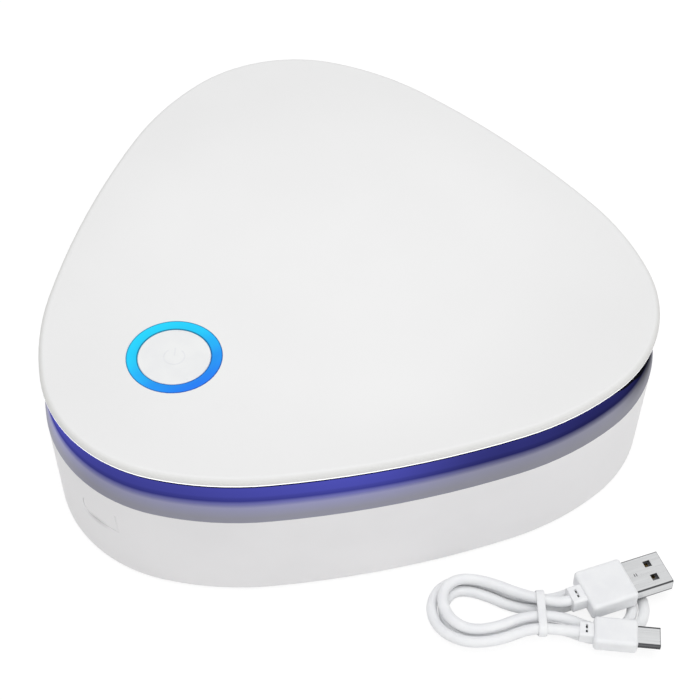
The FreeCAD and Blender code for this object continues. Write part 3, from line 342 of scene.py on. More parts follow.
# %% Floor
FLOOR_WHITE = 0.85
HALF_FLOOR = 3.0
floor_mesh = bpy.data.meshes.new("floor")
floor_corners = [(x * HALF_FLOOR, y * HALF_FLOOR, 0) for x, y in ((-1, -1), (1, -1), (1, 1), (-1, 1))]
floor_mesh.from_pydata(floor_corners, [], [(0, 1, 2, 3)])
floor = new_object("floor", floor_mesh)
floor_finish = bpy.data.materials.new("floor_white")
floor_finish.use_nodes = True
tree = floor_finish.node_tree
tree.nodes.clear()
floor_out = node(tree, "ShaderNodeOutputMaterial")
floor_lit = node(tree, "ShaderNodeBsdfDiffuse", Color=(0.8, 0.8, 0.8, 1))
floor_white = node(tree, "ShaderNodeEmission", Color=(1, 1, 1, 1), Strength=FLOOR_WHITE)
floor_shade = node(tree, "ShaderNodeBsdfDiffuse", Color=(0.2, 0.2, 0.2, 1))
floor_seen = node(tree, "ShaderNodeAddShader")
floor_mix = node(tree, "ShaderNodeMixShader")
link(tree, floor_white.outputs[0], floor_seen.inputs[0])
link(tree, floor_shade.outputs[0], floor_seen.inputs[1])
link(tree, picture_rays(tree), floor_mix.inputs[0])
link(tree, floor_lit.outputs[0], floor_mix.inputs[1])
link(tree, floor_seen.outputs[0], floor_mix.inputs[2])
link(tree, floor_mix.outputs[0], floor_out.inputs[0])
floor.data.materials.append(floor_finish)
print("floor", 2 * HALF_FLOOR, "m across")

# %% Lamps
def soft_lamp(name, place, aim, across, power):
    """A large square lamp that faces a point."""
    data = bpy.data.lights.new(name, "AREA")
    data.shape = "SQUARE"
    data.size = across
    data.energy = power
    lamp = new_object(name, data)
    lamp.location = place
    lamp.rotation_euler = (Vector(place) - Vector(aim)).to_track_quat("Z", "Y").to_euler()
    return lamp


LAMP_AIM = (0.0, 0.0, 0.05)
soft_lamp("top_panel", (0.35, -0.25, 1.9), LAMP_AIM, across=1.6, power=15.0)
soft_lamp("front_panel", (2.1, -0.9, 1.0), LAMP_AIM, across=1.4, power=6.5)
print("two soft panels")

# %% [markdown]
# ## Effects that several finishes share
# Moulded plastic is never quite even: its skin has a very fine grain, and its gloss drifts a little from
# place to place. We could paint that into each finish. A node group is built once and used everywhere, each
# time with its own sizes. A second group tells how far a place is from an upright axis and which way it
# faces, for glows and for painted light and shade that change round the case. A third draws fine streaks for
# metal.

# %% Group: skin of moulded pieces
def shader_group(name, inputs, outputs):
    """An empty node group with named number sockets and one vector."""
    group = bpy.data.node_groups.new(name, "ShaderNodeTree")
    group.interface.new_socket("Vector", in_out="INPUT", socket_type="NodeSocketVector")
    for title in inputs:
        group.interface.new_socket(title, in_out="INPUT", socket_type="NodeSocketFloat")
    for title in outputs:
        group.interface.new_socket(title, in_out="OUTPUT", socket_type="NodeSocketFloat")
    return group, group.nodes.new("NodeGroupInput"), group.nodes.new("NodeGroupOutput")


skin_group, skin_in, skin_out = shader_group("moulded_skin", ("Grain Scale", "Patch Scale"),
                                             ("Height", "Patch"))
grain = node(skin_group, "ShaderNodeTexNoise", Detail=3.0, Roughness=0.6)
patch = node(skin_group, "ShaderNodeTexNoise", Detail=2.0, Roughness=0.5)
for texture, scale, result in ((grain, "Grain Scale", "Height"), (patch, "Patch Scale", "Patch")):
    link(skin_group, skin_in.outputs["Vector"], texture.inputs["Vector"])
    link(skin_group, skin_in.outputs[scale], texture.inputs["Scale"])
    link(skin_group, texture.outputs[0], skin_out.inputs[result])
print("group", skin_group.name)

# %% Group: distance and direction from an upright axis
axis_group, axis_in, axis_out = shader_group("round_an_axis", (), ("Radius", "Turn"))
split = node(axis_group, "ShaderNodeSeparateXYZ")
flat = node(axis_group, "ShaderNodeCombineXYZ")
size_of = node(axis_group, "ShaderNodeVectorMath")
size_of.operation = "LENGTH"
around = node(axis_group, "ShaderNodeTexGradient")
around.gradient_type = "RADIAL"
link(axis_group, axis_in.outputs["Vector"], split.inputs[0])
link(axis_group, split.outputs["X"], flat.inputs["X"])
link(axis_group, split.outputs["Y"], flat.inputs["Y"])
link(axis_group, flat.outputs[0], size_of.inputs[0])
link(axis_group, flat.outputs[0], around.inputs["Vector"])
link(axis_group, size_of.outputs["Value"], axis_out.inputs["Radius"])
link(axis_group, around.outputs[1], axis_out.inputs["Turn"])
print("group", axis_group.name)

# %% Group: drawn streaks
streak_group, streak_in, streak_out = shader_group("drawn_streaks", ("Streak Scale",), ("Streak",))
fine = node(streak_group, "ShaderNodeTexNoise", Detail=4.0, Roughness=0.7)
link(streak_group, streak_in.outputs["Vector"], fine.inputs["Vector"])
link(streak_group, streak_in.outputs["Streak Scale"], fine.inputs["Scale"])
link(streak_group, fine.outputs[0], streak_out.inputs["Streak"])
print("group", streak_group.name)

# %% Helpers for finishes
FINISHES = {}
NOISE_LOW, NOISE_HIGH = 0.3, 0.7
GLOSS_DRIFT = 0.05


def tint(red, green, blue):
    """A colour as a picture program shows it, turned into Blender's linear light."""
    def linear(value):
        share = value / 255
        return share / 12.92 if share <= 0.04045 else ((share + 0.055) / 1.055) ** 2.4
    return (linear(red), linear(green), linear(blue), 1.0)


def new_finish(slot):
    """An empty finish with its shader, and the object coordinates that its textures use."""
    finish = bpy.data.materials.new(slot)
    finish.use_nodes = True
    tree = finish.node_tree
    tree.nodes.clear()
    shader = node(tree, "ShaderNodeBsdfPrincipled")
    link(tree, shader.outputs[0], node(tree, "ShaderNodeOutputMaterial").inputs[0])
    place = node(tree, "ShaderNodeTexCoord").outputs["Object"]
    FINISHES[slot] = finish
    return tree, shader, place


def use_group(tree, group, place, **values):
    made = node(tree, "ShaderNodeGroup")
    made.node_tree = group
    for name, value in values.items():
        made.inputs[name.replace("_", " ")].default_value = value
    link(tree, place, made.inputs["Vector"])
    return made


def ramp(tree, value, stops):
    """Colours along a value, smoothly from stop to stop."""
    made = node(tree, "ShaderNodeValToRGB")
    made.color_ramp.interpolation = "EASE"
    elements = made.color_ramp.elements
    elements[0].position, elements[0].color = stops[0]
    elements[1].position, elements[1].color = stops[-1]
    for position, colour in stops[1:-1]:
        elements.new(position).color = colour
    link(tree, value, made.inputs[0])
    return made.outputs[0]


def spread(tree, value, low, high, start=0.0, end=1.0):
    """Map a range of a value to another range."""
    made = node(tree, "ShaderNodeMapRange", From_Min=start, From_Max=end, To_Min=low, To_Max=high)
    link(tree, value, made.inputs["Value"])
    return made.outputs[0]


def bump(tree, shader, height, depth, strength=1.0):
    made = node(tree, "ShaderNodeBump", Strength=strength, Distance=depth)
    link(tree, height, made.inputs["Height"])
    link(tree, made.outputs[0], shader.inputs["Normal"])


def mapped(tree, place, move=(0, 0, 0), turn=0.0, scale=(1, 1, 1)):
    made = node(tree, "ShaderNodeMapping", Location=move, Rotation=(0, 0, turn), Scale=scale)
    link(tree, place, made.inputs["Vector"])
    return made.outputs[0]


def moulded(slot, darker, paler, rough, grain_mm=0.35, patch_mm=30.0, depth_mm=0.004):
    """A moulded finish: fine grain, and slow changes of colour and gloss."""
    tree, shader, place = new_finish(slot)
    skin = use_group(tree, skin_group, place, Grain_Scale=1 / (grain_mm * MM),
                     Patch_Scale=1 / (patch_mm * MM))
    link(tree, ramp(tree, skin.outputs["Patch"], ((NOISE_LOW, darker), (NOISE_HIGH, paler))),
         shader.inputs["Base Color"])
    gloss = spread(tree, skin.outputs["Patch"], rough - GLOSS_DRIFT, rough + GLOSS_DRIFT,
                   NOISE_LOW, NOISE_HIGH)
    link(tree, gloss, shader.inputs["Roughness"])
    bump(tree, shader, skin.outputs["Height"], depth_mm * MM)
    return tree, shader, place, skin


# %% Helpers that tell where a place lies
CASE_MIDDLE = Vector((0.0, 10.2496, 0.0)) * MM
LID_LOW, LID_TOP, LID_REACH = 54.3 * MM, 57.0 * MM, 100 * MM
# strength of the painted highlight that glows along the lower edge of the lid
LIP_LIGHT = 1.1


def round_the_case(tree, place):
    """Distance and direction from the middle of the case: a half is the front corner, zero the rear."""
    centred = mapped(tree, place, move=(CASE_MIDDLE.y, 0, 0), turn=math.radians(90))
    return use_group(tree, axis_group, centred)


def height_share(tree, place, low, high):
    """How far up a place is between two heights, from zero to one."""
    parts = node(tree, "ShaderNodeSeparateXYZ")
    link(tree, place, parts.inputs[0])
    return spread(tree, parts.outputs["Z"], 0.0, 1.0, low, high)


def mixed(tree, share, first, second, way="MIX"):
    """Mix two colours, each a socket or a plain colour, by a share."""
    made = node(tree, "ShaderNodeMix")
    made.data_type = "RGBA"
    made.blend_type = way
    if isinstance(share, float):
        made.inputs[0].default_value = share
    else:
        link(tree, share, made.inputs[0])
    # a Mix node keeps its two colours in sockets 6 and 7, and gives their mix in socket 2
    for socket, value in ((made.inputs[6], first), (made.inputs[7], second)):
        if isinstance(value, tuple):
            socket.default_value = value
        else:
            link(tree, value, socket)
    return made.outputs[2]


# %% [markdown]
# ## White plastics
# The case, the lid, the button and the cable are all white, but not the same white. The lid is a satin sheet;
# a painted highlight glows along its lower edge, and painted shade darkens it towards its rim and on its
# rounded edge. The wall is a little duller, with painted shade that changes with its direction round the
# case, and the cable is a soft rubbery white. They share the moulded finish, with their own colours, gloss
# and grain. A soft patch on the wall, under the charging port, stands for the shallow dip that a finger nail
# needs. It could be modelled, but a painted shade is enough for something so faint.

# %% White finishes
moulded("cap_white", tint(235, 236, 237), tint(239, 240, 240), 0.36, patch_mm=8.0)
moulded("cable_white", tint(236, 237, 239), tint(241, 242, 243), 0.5, grain_mm=0.2, patch_mm=6.0,
        depth_mm=0.006)
tree, shader, place, skin = moulded("lid_white", tint(240, 240, 240), tint(242, 242, 242), 0.5, patch_mm=60.0)
sheet = shader.inputs["Base Color"].links[0].from_socket
# painted shade: the lid's top grows a little darker towards its rim
painted_rim_shade = ramp(tree, spread(tree, round_the_case(tree, place).outputs["Radius"], 0.0, 1.0, 0.0, LID_REACH),
               ((0.0, (1, 1, 1, 1)), (0.5, (0.99, 0.99, 0.99, 1)), (0.95, (0.945, 0.945, 0.945, 1))))
# painted shade on the lid's side and rounded edge, darkest on the side and fading out towards the top face
upright = ramp(tree, height_share(tree, place, LID_LOW, LID_TOP),
               ((0.0, (1, 1, 1, 1)), (0.22, (1, 1, 1, 1)), (0.34, tint(240, 240, 238)),
                (0.74, tint(242, 242, 240)), (0.9, tint(248, 248, 247)), (0.98, (1, 1, 1, 1))))
link(tree, mixed(tree, 1.0, mixed(tree, 1.0, sheet, painted_rim_shade, "MULTIPLY"), upright, "MULTIPLY"),
     shader.inputs["Base Color"])
shader.inputs["Specular IOR Level"].default_value = 0.25
# painted highlight: a bright glowing line along the lower edge of the lid
painted_lip_highlight = ramp(tree, height_share(tree, place, LID_LOW, LID_TOP),
           ((0.0, (0, 0, 0, 1)), (0.02, (1, 1, 1, 1)), (0.13, (1, 1, 1, 1)), (0.25, (0, 0, 0, 1))))
link(tree, painted_lip_highlight, shader.inputs["Emission Color"])
shader.inputs["Emission Strength"].default_value = LIP_LIGHT
print("white finishes:", sorted(FINISHES))

# %% White wall
tree, shader, place, skin = moulded("white_case", tint(233, 232, 233), tint(237, 236, 237), 0.42)
sheet = shader.inputs["Base Color"].links[0].from_socket
# painted light and shade: the wall grows lighter or darker with its direction round the case
WALL_SHADE_SHARES = ((0.44, 0.965), (0.54, 0.97), (0.61, 0.985), (0.7, 1.035), (0.78, 1.02), (0.84, 0.98))
facing = ramp(tree, round_the_case(tree, place).outputs["Turn"],
              [(at, (share, share, share, 1)) for at, share in WALL_SHADE_SHARES])
DIP_PLACE, DIP_TURN = Vector((4.9, -95.5, 20.0)) * MM, math.radians(5.8)
DIP_SIZE = Vector((6.5, 4.0, 2.4)) * MM
dip_scale = Vector((1 / DIP_SIZE.x, 1 / DIP_SIZE.y, 1 / DIP_SIZE.z))
dip_middle = (Matrix.Rotation(-DIP_TURN, 3, "Z") @ DIP_PLACE) * dip_scale
dip = node(tree, "ShaderNodeTexGradient")
dip.gradient_type = "SPHERICAL"
link(tree, mapped(tree, mapped(tree, place, turn=-DIP_TURN), move=tuple(-dip_middle),
                  scale=tuple(dip_scale)), dip.inputs[0])
# painted shade of the shallow dip under the charging port
painted_dip_shade = ramp(tree, dip.outputs[1], ((0.0, (1, 1, 1, 1)), (0.9, (0.8, 0.8, 0.8, 1))))
link(tree, mixed(tree, 1.0, mixed(tree, 1.0, sheet, facing, "MULTIPLY"), painted_dip_shade, "MULTIPLY"),
     shader.inputs["Base Color"])
print("wall shares:", len(WALL_SHADE_SHARES))

# %% [markdown]
# ## Grey bevel, glowing band and black collar
# Below the lid a dark tinted band lets blue light through. The light is strongest near the lamps on the side
# that faces the picture. We could put lamps behind a translucent band. A plain blue that is emitted, and that
# grows brighter and darker with the direction from the middle of the case, is quieter and costs nothing to
# render; where the band turns away at its left end, its glow also carries a painted sheen. The same blue is
# painted on the grey bevel below it as spilled light, most of it near the top, the bevel gets painted light
# and shade that change round the case, and the two blend softly where they meet. A thin painted shadow of the
# lid darkens the top of the band, and towards the right end of the view it reaches further down the band and
# the bevel.

# %% Light round the case
BEVEL_TOP, COLLAR_LOW = 44.7 * MM, 52.8 * MM
SPILL_FROM, SOFT_LOW, SOFT_TOP = 39.0 * MM, 43.2 * MM, 46.3 * MM
# the last colour is the painted shadow of the lid on the band
BAND_BLUE, BEVEL_GREY, LID_SHADOW = tint(66, 68, 155), tint(150, 150, 158), tint(9, 9, 14)
# the band's own light round the case, with a painted sheen at its left end and painted shade towards its
# right end
GLOW_AND_SHEEN_SHARES = ((0.0, 0.6), (0.38, 1.0), (0.46, 1.45), (0.52, 0.87), (0.64, 1.28), (0.73, 0.53), (0.79, 0.33),
               (1.0, 0.6))
# painted light and shade on the bevel round the case, brightest where a painted sheen lies at the left end
BEVEL_SHEEN_AND_SHADE = ((0.4, 1.05), (0.467, 1.6), (0.515, 0.98), (0.64, 1.03), (0.75, 0.97), (0.82, 1.15))
# painted shadow of the lid at the right end, on the glow and on the bevel's head
END_SHADE = ((0.79, 1.0), (0.832, 0.25), (0.865, 1.0))
# painted shadow of the lid: above these shares of its height the band turns dark, all round near the top and
# lower at the right end
SHADE_FROM = ((0.5, 0.94), (0.788, 0.94), (0.805, 0.6), (0.819, 0.15), (0.833, 0.1), (0.865, 0.94))
SHADE_FADE = 0.07
# how much of the glow is painted on the bevel's foot and head as spilled light
FOOT_SPILL, HEAD_SPILL, EDGE_SHARE = 0.08, 0.48, 0.6


def by_turn(tree, turn, rows):
    """A share that changes with the direction round the case."""
    return ramp(tree, turn, [(at, (share, share, share, 1)) for at, share in rows])


def light_round_the_case(tree, turn):
    """The band's glow with its painted sheen and the lid's painted shadow, the foot and head of the bevel
    with that glow painted on as spilled light, and the edge between the two.
    """
    shade = by_turn(tree, turn, END_SHADE)
    # the band's light round the case, with its painted sheen and shade
    lamps = mixed(tree, 1.0, BAND_BLUE, by_turn(tree, turn, GLOW_AND_SHEEN_SHARES), "MULTIPLY")
    glow = mixed(tree, 1.0, lamps, shade, "MULTIPLY")
    # the bevel's grey with painted light and shade round the case
    grey = mixed(tree, 1.0, BEVEL_GREY, by_turn(tree, turn, BEVEL_SHEEN_AND_SHADE), "MULTIPLY")
    foot = mixed(tree, FOOT_SPILL, grey, glow, "ADD")
    head = mixed(tree, 1.0, mixed(tree, HEAD_SPILL, grey, glow, "ADD"), shade, "MULTIPLY")
    return glow, foot, head, mixed(tree, EDGE_SHARE, head, glow)


print("light round the case:", len(GLOW_AND_SHEEN_SHARES), "and", len(BEVEL_SHEEN_AND_SHADE), "shares")

# %% Glowing band
tree, shader, place = new_finish("blue_band")
turn = round_the_case(tree, place).outputs["Turn"]
rise = height_share(tree, place, BEVEL_TOP, COLLAR_LOW)
upward = ramp(tree, rise, ((0.0, (0.66, 0.66, 0.66, 1)), (0.2, (0.68, 0.68, 0.68, 1)),
                           (0.3, (0.78, 0.78, 0.78, 1)), (0.5, (1, 1, 1, 1)), (1.0, (1.08, 1.08, 1.08, 1))))
glow, _, _, edge = light_round_the_case(tree, turn)
lit = mixed(tree, 1.0, glow, upward, "MULTIPLY")
# painted shadow of the lid: above a height that changes round the case, the band turns dark
over = tree.nodes.new("ShaderNodeMath")
over.operation = "SUBTRACT"
link(tree, rise, over.inputs[0])
link(tree, by_turn(tree, turn, SHADE_FROM), over.inputs[1])
shaded = mixed(tree, spread(tree, over.outputs[0], 0.0, 1.0, 0.0, SHADE_FADE), lit, LID_SHADOW)
# at its foot the band glows with the bevel's painted colour, and blends upwards into its own light
clear = height_share(tree, place, BEVEL_TOP, SOFT_TOP)
link(tree, mixed(tree, clear, edge, shaded), shader.inputs["Emission Color"])
shader.inputs["Emission Strength"].default_value = 1.0
skin = use_group(tree, skin_group, place, Grain_Scale=1500.0, Patch_Scale=60.0)
link(tree, ramp(tree, skin.outputs["Patch"], ((NOISE_LOW, tint(3, 3, 8)), (NOISE_HIGH, tint(7, 7, 14)))),
     shader.inputs["Base Color"])
link(tree, spread(tree, skin.outputs["Patch"], 0.18, 0.28, NOISE_LOW, NOISE_HIGH), shader.inputs["Roughness"])
shader.inputs["Specular IOR Level"].default_value = 0.0
bump(tree, shader, skin.outputs["Height"], 0.002 * MM)
print("blue band")

# %% Grey bevel
tree, shader, place, skin = moulded("grey_bevel", tint(250, 250, 250), tint(255, 255, 255), 0.5)
even = shader.inputs["Base Color"].links[0].from_socket
turn = round_the_case(tree, place).outputs["Turn"]
_, foot, head, edge = light_round_the_case(tree, turn)
# painted light and shade: the bevel carries the band's glow as spilled light, most near its head, with
# painted sheen and shade round the case
body = mixed(tree, height_share(tree, place, SPILL_FROM, SOFT_LOW), foot, head)
body = mixed(tree, height_share(tree, place, SOFT_LOW, BEVEL_TOP), body, edge)
link(tree, mixed(tree, 1.0, body, even, "MULTIPLY"), shader.inputs["Base Color"])
shader.inputs["Specular IOR Level"].default_value = 0.0
print("grey bevel")

# %% Black collar and seals
tree, shader, place, skin = moulded("black_trim", tint(9, 9, 12), tint(13, 13, 17), 0.4, patch_mm=12.0)
shader.inputs["Specular IOR Level"].default_value = 0.05
moulded("seal_black", tint(22, 22, 24), tint(30, 30, 32), 0.7, grain_mm=0.15, depth_mm=0.01)
moulded("rubber_grey", tint(96, 97, 100), tint(108, 109, 112), 0.8, grain_mm=0.2, patch_mm=5.0,
        depth_mm=0.015)
print("dark finishes")

# %% [markdown]
# ## The light ring of the button
# A clear ring round the button is lit from below. It is cyan on one side and a deeper blue on the other,
# with a thin darker line along both edges. A ramp across the ring gives the first, and the distance from
# the button's axis the second.

# %% Light ring
BUTTON_PLACE = Vector((-3.8, -53.812, 0.0)) * MM
RING_IN, RING_OUT = 11.55 * MM, 15.0 * MM
RING_TURN = math.radians(10)
tree, shader, place = new_finish("ring_glow")
centred = mapped(tree, place, move=(-BUTTON_PLACE.x, -BUTTON_PLACE.y, 0))
across = node(tree, "ShaderNodeSeparateXYZ")
link(tree, mapped(tree, centred, turn=RING_TURN), across.inputs[0])
sweep = ramp(tree, spread(tree, across.outputs["X"], 0.0, 1.0, -RING_OUT, RING_OUT),
             ((0.0, tint(20, 216, 255)), (0.3, tint(18, 208, 255)), (0.55, tint(20, 180, 252)),
              (0.75, tint(22, 150, 248)), (1.0, tint(24, 122, 246))))
radius = use_group(tree, axis_group, centred).outputs["Radius"]
edges = ramp(tree, spread(tree, radius, 0.0, 1.0, RING_IN, RING_OUT),
             ((0.0, tint(150, 150, 160)), (0.12, tint(250, 250, 250)), (0.85, tint(255, 255, 255)),
              (1.0, tint(140, 140, 160))))
link(tree, mixed(tree, 1.0, sweep, edges, "MULTIPLY"), shader.inputs["Emission Color"])
shader.inputs["Emission Strength"].default_value = 0.97
shader.inputs["Specular IOR Level"].default_value = 0.15
skin = use_group(tree, skin_group, place, Grain_Scale=2500.0, Patch_Scale=250.0)
link(tree, ramp(tree, skin.outputs["Patch"], ((NOISE_LOW, tint(10, 20, 36)), (NOISE_HIGH, tint(16, 30, 48)))),
     shader.inputs["Base Color"])
link(tree, spread(tree, skin.outputs["Patch"], 0.3, 0.4, NOISE_LOW, NOISE_HIGH), shader.inputs["Roughness"])
bump(tree, shader, skin.outputs["Height"], 0.002 * MM)
print("button ring")

# %% [markdown]
# ## Metals
# The plugs have shells of drawn sheet steel, with faint lines along the way they were drawn. A metal shows
# what is round it, and here that is white, so only its colour and its small unevenness give it form. The bent
# edges of a shell mirror the dark gap beside the plug, so they show as thin dark lines. We could model and
# light those bends. Painted reflections, dark lines at the edges and the tip drawn by the place on the plug,
# are sharper at this size, and painted shade darkens the sides of each shell. The chamber is lined with a
# mirror coat.

# %% Metal finishes
def metal(slot, darker, paler, rough, scale, turn=0.0, stretch=(1.0, 1.0, 1.0)):
    """Bare metal with fine streaks along one way."""
    tree, shader, place = new_finish(slot)
    along = mapped(tree, mapped(tree, place, turn=turn), scale=stretch)
    streak = use_group(tree, streak_group, along, Streak_Scale=scale)
    link(tree, ramp(tree, streak.outputs["Streak"], ((NOISE_LOW, darker), (NOISE_HIGH, paler))),
         shader.inputs["Base Color"])
    gloss = spread(tree, streak.outputs["Streak"], rough - GLOSS_DRIFT, rough + 0.07, NOISE_LOW, NOISE_HIGH)
    link(tree, gloss, shader.inputs["Roughness"])
    bump(tree, shader, streak.outputs["Streak"], 0.004 * MM)
    shader.inputs["Metallic"].default_value = 1.0
    return tree, shader, place


metal("steel", tint(176, 178, 182), tint(200, 202, 205), 0.3, 900.0, stretch=(0.15, 1.0, 1.0))
metal("contact_brass", tint(204, 166, 92), tint(226, 190, 118), 0.25, 1500.0, turn=-HANK_TURN,
      stretch=(0.1, 1.0, 1.0))
metal("mirror_lining", tint(214, 217, 222), tint(228, 230, 234), 0.16, 45.0)
# painted shade for the plug shells: deep, half and none
DEEP_SHADE, HALF_SHADE, NO_SHADE = (0.1, 0.1, 0.105, 1), (0.3, 0.3, 0.31, 1), (0.98, 0.98, 0.98, 1)


def plug_metal(slot, plug, half_width, line, tip, low, high, sides):
    """Drawn sheet metal: streaks along a plug, painted reflections as dark lines along its edges and tip, and
    painted shade on its sides.
    """
    turn = Matrix.Rotation(-plug[1], 3, "Z")
    tree, shader, place = metal(slot, tint(206, 207, 208), tint(216, 217, 218), 0.3, 1200.0, turn=-plug[1],
                                stretch=(0.03, 1.0, 1.0))
    drawn = shader.inputs["Base Color"].links[0].from_socket
    parts = node(tree, "ShaderNodeSeparateXYZ")
    link(tree, mapped(tree, place, move=tuple(-(turn @ plug[0])), turn=-plug[1]), parts.inputs[0])
    away = tree.nodes.new("ShaderNodeMath")
    away.operation = "ABSOLUTE"
    link(tree, parts.outputs["Y"], away.inputs[0])
    # painted reflection: dark lines along the long edges of the shell's top
    edge = ramp(tree, spread(tree, away.outputs[0], 0.0, 1.0, half_width - 2 * line, half_width - line / 2),
                ((0.3, NO_SHADE), (0.7, DEEP_SHADE)))
    # painted reflection: a darker line across the tip
    end = ramp(tree, spread(tree, parts.outputs["X"], 0.0, 1.0, tip - line, tip),
               ((0.4, (1, 1, 1, 1)), (0.8, HALF_SHADE)))
    # painted shade on the sides of the shell, by height
    side = ramp(tree, height_share(tree, place, low, high), sides)
    facing = node(tree, "ShaderNodeSeparateXYZ")
    link(tree, node(tree, "ShaderNodeNewGeometry").outputs["Normal"], facing.inputs[0])
    upward = ramp(tree, facing.outputs["Z"], ((0.3, (0, 0, 0, 1)), (0.6, (1, 1, 1, 1))))
    painted_edge_shade = mixed(tree, 1.0, mixed(tree, upward, side, edge), end, "MULTIPLY")
    link(tree, mixed(tree, 1.0, drawn, painted_edge_shade, "MULTIPLY"), shader.inputs["Base Color"])


LINE_A, LINE_B = 0.3 * MM, 0.5 * MM
plug_metal("plug_metal", PLUG_A, SHELL_A_HALF, LINE_A, SHELL_A_TIP, SHELL_A_LOW, SHELL_A_TOP,
           ((0.0, DEEP_SHADE), (0.12, HALF_SHADE), (0.22, NO_SHADE), (0.82, NO_SHADE), (0.94, DEEP_SHADE), (1.0, HALF_SHADE)))
plug_metal("small_plug_metal", PLUG_B, SHELL_B_HALF, LINE_B, SHELL_B_TIP, SHELL_B_LOW, SHELL_B_TOP,
           ((0.0, DEEP_SHADE), (0.6, DEEP_SHADE), (1.0, HALF_SHADE)))
print("metals done")

# %% [markdown]
# ## Inside the case
# Boards, lamps, battery and windows show when the lid is open or the bottom is off. Circuit boards have a
# lacquer with tracks under it, a battery has a crinkled foil wrap, foam has cells, and the windows are
# clear quartz.

# %% Boards
def board(slot, lacquer, paler, track):
    """Lacquered board with tracks that shine through."""
    tree, shader, place, skin = moulded(slot, lacquer, paler, 0.3, grain_mm=0.25, patch_mm=9.0)
    lines = node(tree, "ShaderNodeTexBrick", Scale=220.0, Mortar_Size=0.03, Mortar_Smooth=0.2)
    lines.inputs["Color1"].default_value = (0, 0, 0, 1)
    lines.inputs["Color2"].default_value = (0, 0, 0, 1)
    lines.inputs["Mortar"].default_value = (1, 1, 1, 1)
    link(tree, place, lines.inputs["Vector"])
    base = shader.inputs["Base Color"].links[0].from_socket
    link(tree, mixed(tree, lines.outputs[0], base, track), shader.inputs["Base Color"])


board("board_green", tint(28, 92, 52), tint(36, 106, 60), tint(58, 132, 78))
board("board_white", tint(226, 228, 230), tint(234, 236, 238), tint(206, 206, 204))
moulded("lamp_white", tint(224, 224, 214), tint(238, 236, 222), 0.35, grain_mm=0.15, patch_mm=1.2)
moulded("dark_parts", tint(26, 27, 29), tint(36, 37, 40), 0.5, grain_mm=0.15, patch_mm=3.0)
moulded("tongue_dark", tint(122, 123, 126), tint(136, 137, 140), 0.5, grain_mm=0.15, patch_mm=2.0)
moulded("battery_wrap", tint(150, 154, 160), tint(174, 178, 184), 0.32, grain_mm=3.0, patch_mm=12.0,
        depth_mm=0.15)
print("boards and small parts")

# %% Foam and windows
tree, shader, place, skin = moulded("foam", tint(52, 53, 56), tint(66, 67, 70), 0.92, grain_mm=0.5,
                                    patch_mm=4.0)
cells = node(tree, "ShaderNodeTexVoronoi", Scale=1400.0)
link(tree, place, cells.inputs["Vector"])
bump(tree, shader, cells.outputs["Distance"], 0.12 * MM)
tree, shader, place, skin = moulded("window_glass", tint(244, 246, 250), tint(250, 251, 253), 0.08,
                                    grain_mm=2.0, depth_mm=0.002)
shader.inputs["Transmission Weight"].default_value = 1.0
shader.inputs["IOR"].default_value = 1.46
missing = sorted(set(SLOT_OF.values()) - set(FINISHES))
print("finishes:", len(FINISHES), "missing:", missing)

# %% Dress the solids
for name, solid in NODES.items():
    solid.data.materials.clear()
    solid.data.materials.append(FINISHES["small_plug_metal" if name == "micro_shell" else SLOT_OF[name]])
print("dressed", len(NODES), "solids")

# %% [markdown]
# ## Small things that repeat
# Screw heads have a cross recess in them, and each plug's strain relief has a pair of short slots; both are
# thin dark marks of painted shade. The larger plug's shell has a short seam, and each lamp has a round yellow
# dot. We could model one and copy it.
# Geometry Nodes do that from a list of places: the tree puts a small block or a disc on every point, turned
# as the point says.

# %% A tree that sets blocks on points
def marks_tree():
    """A tree with named sizes that sets a soft-edged block or a disc on every point."""
    tree = bpy.data.node_groups.new("marks_on_points", "GeometryNodeTree")
    tree.interface.new_socket("Geometry", in_out="INPUT", socket_type="NodeSocketGeometry")
    for title in ("Length", "Width", "Depth"):
        tree.interface.new_socket(title, in_out="INPUT", socket_type="NodeSocketFloat")
    tree.interface.new_socket("Sides", in_out="INPUT", socket_type="NodeSocketInt")
    tree.interface.new_socket("Finish", in_out="INPUT", socket_type="NodeSocketMaterial")
    tree.interface.new_socket("Geometry", in_out="OUTPUT", socket_type="NodeSocketGeometry")
    start, end = tree.nodes.new("NodeGroupInput"), tree.nodes.new("NodeGroupOutput")
    mark = node(tree, "GeometryNodeMeshCylinder", Radius=0.5, Depth=1.0)
    link(tree, start.outputs["Sides"], mark.inputs["Vertices"])
    scale = node(tree, "ShaderNodeCombineXYZ")
    for axis, title in (("X", "Length"), ("Y", "Width"), ("Z", "Depth")):
        link(tree, start.outputs[title], scale.inputs[axis])
    turned = node(tree, "GeometryNodeInputNamedAttribute", Name="turn")
    turned.data_type = "FLOAT_VECTOR"
    each = node(tree, "GeometryNodeInstanceOnPoints")
    link(tree, start.outputs["Geometry"], each.inputs["Points"])
    link(tree, mark.outputs["Mesh"], each.inputs["Instance"])
    link(tree, turned.outputs[0], each.inputs["Rotation"])
    link(tree, scale.outputs[0], each.inputs["Scale"])
    real = node(tree, "GeometryNodeRealizeInstances")
    painted = node(tree, "GeometryNodeSetMaterial")
    link(tree, each.outputs[0], real.inputs[0])
    link(tree, real.outputs[0], painted.inputs[0])
    link(tree, start.outputs["Finish"], painted.inputs["Material"])
    link(tree, painted.outputs[0], end.inputs[0])
    return tree


MARKS = marks_tree()


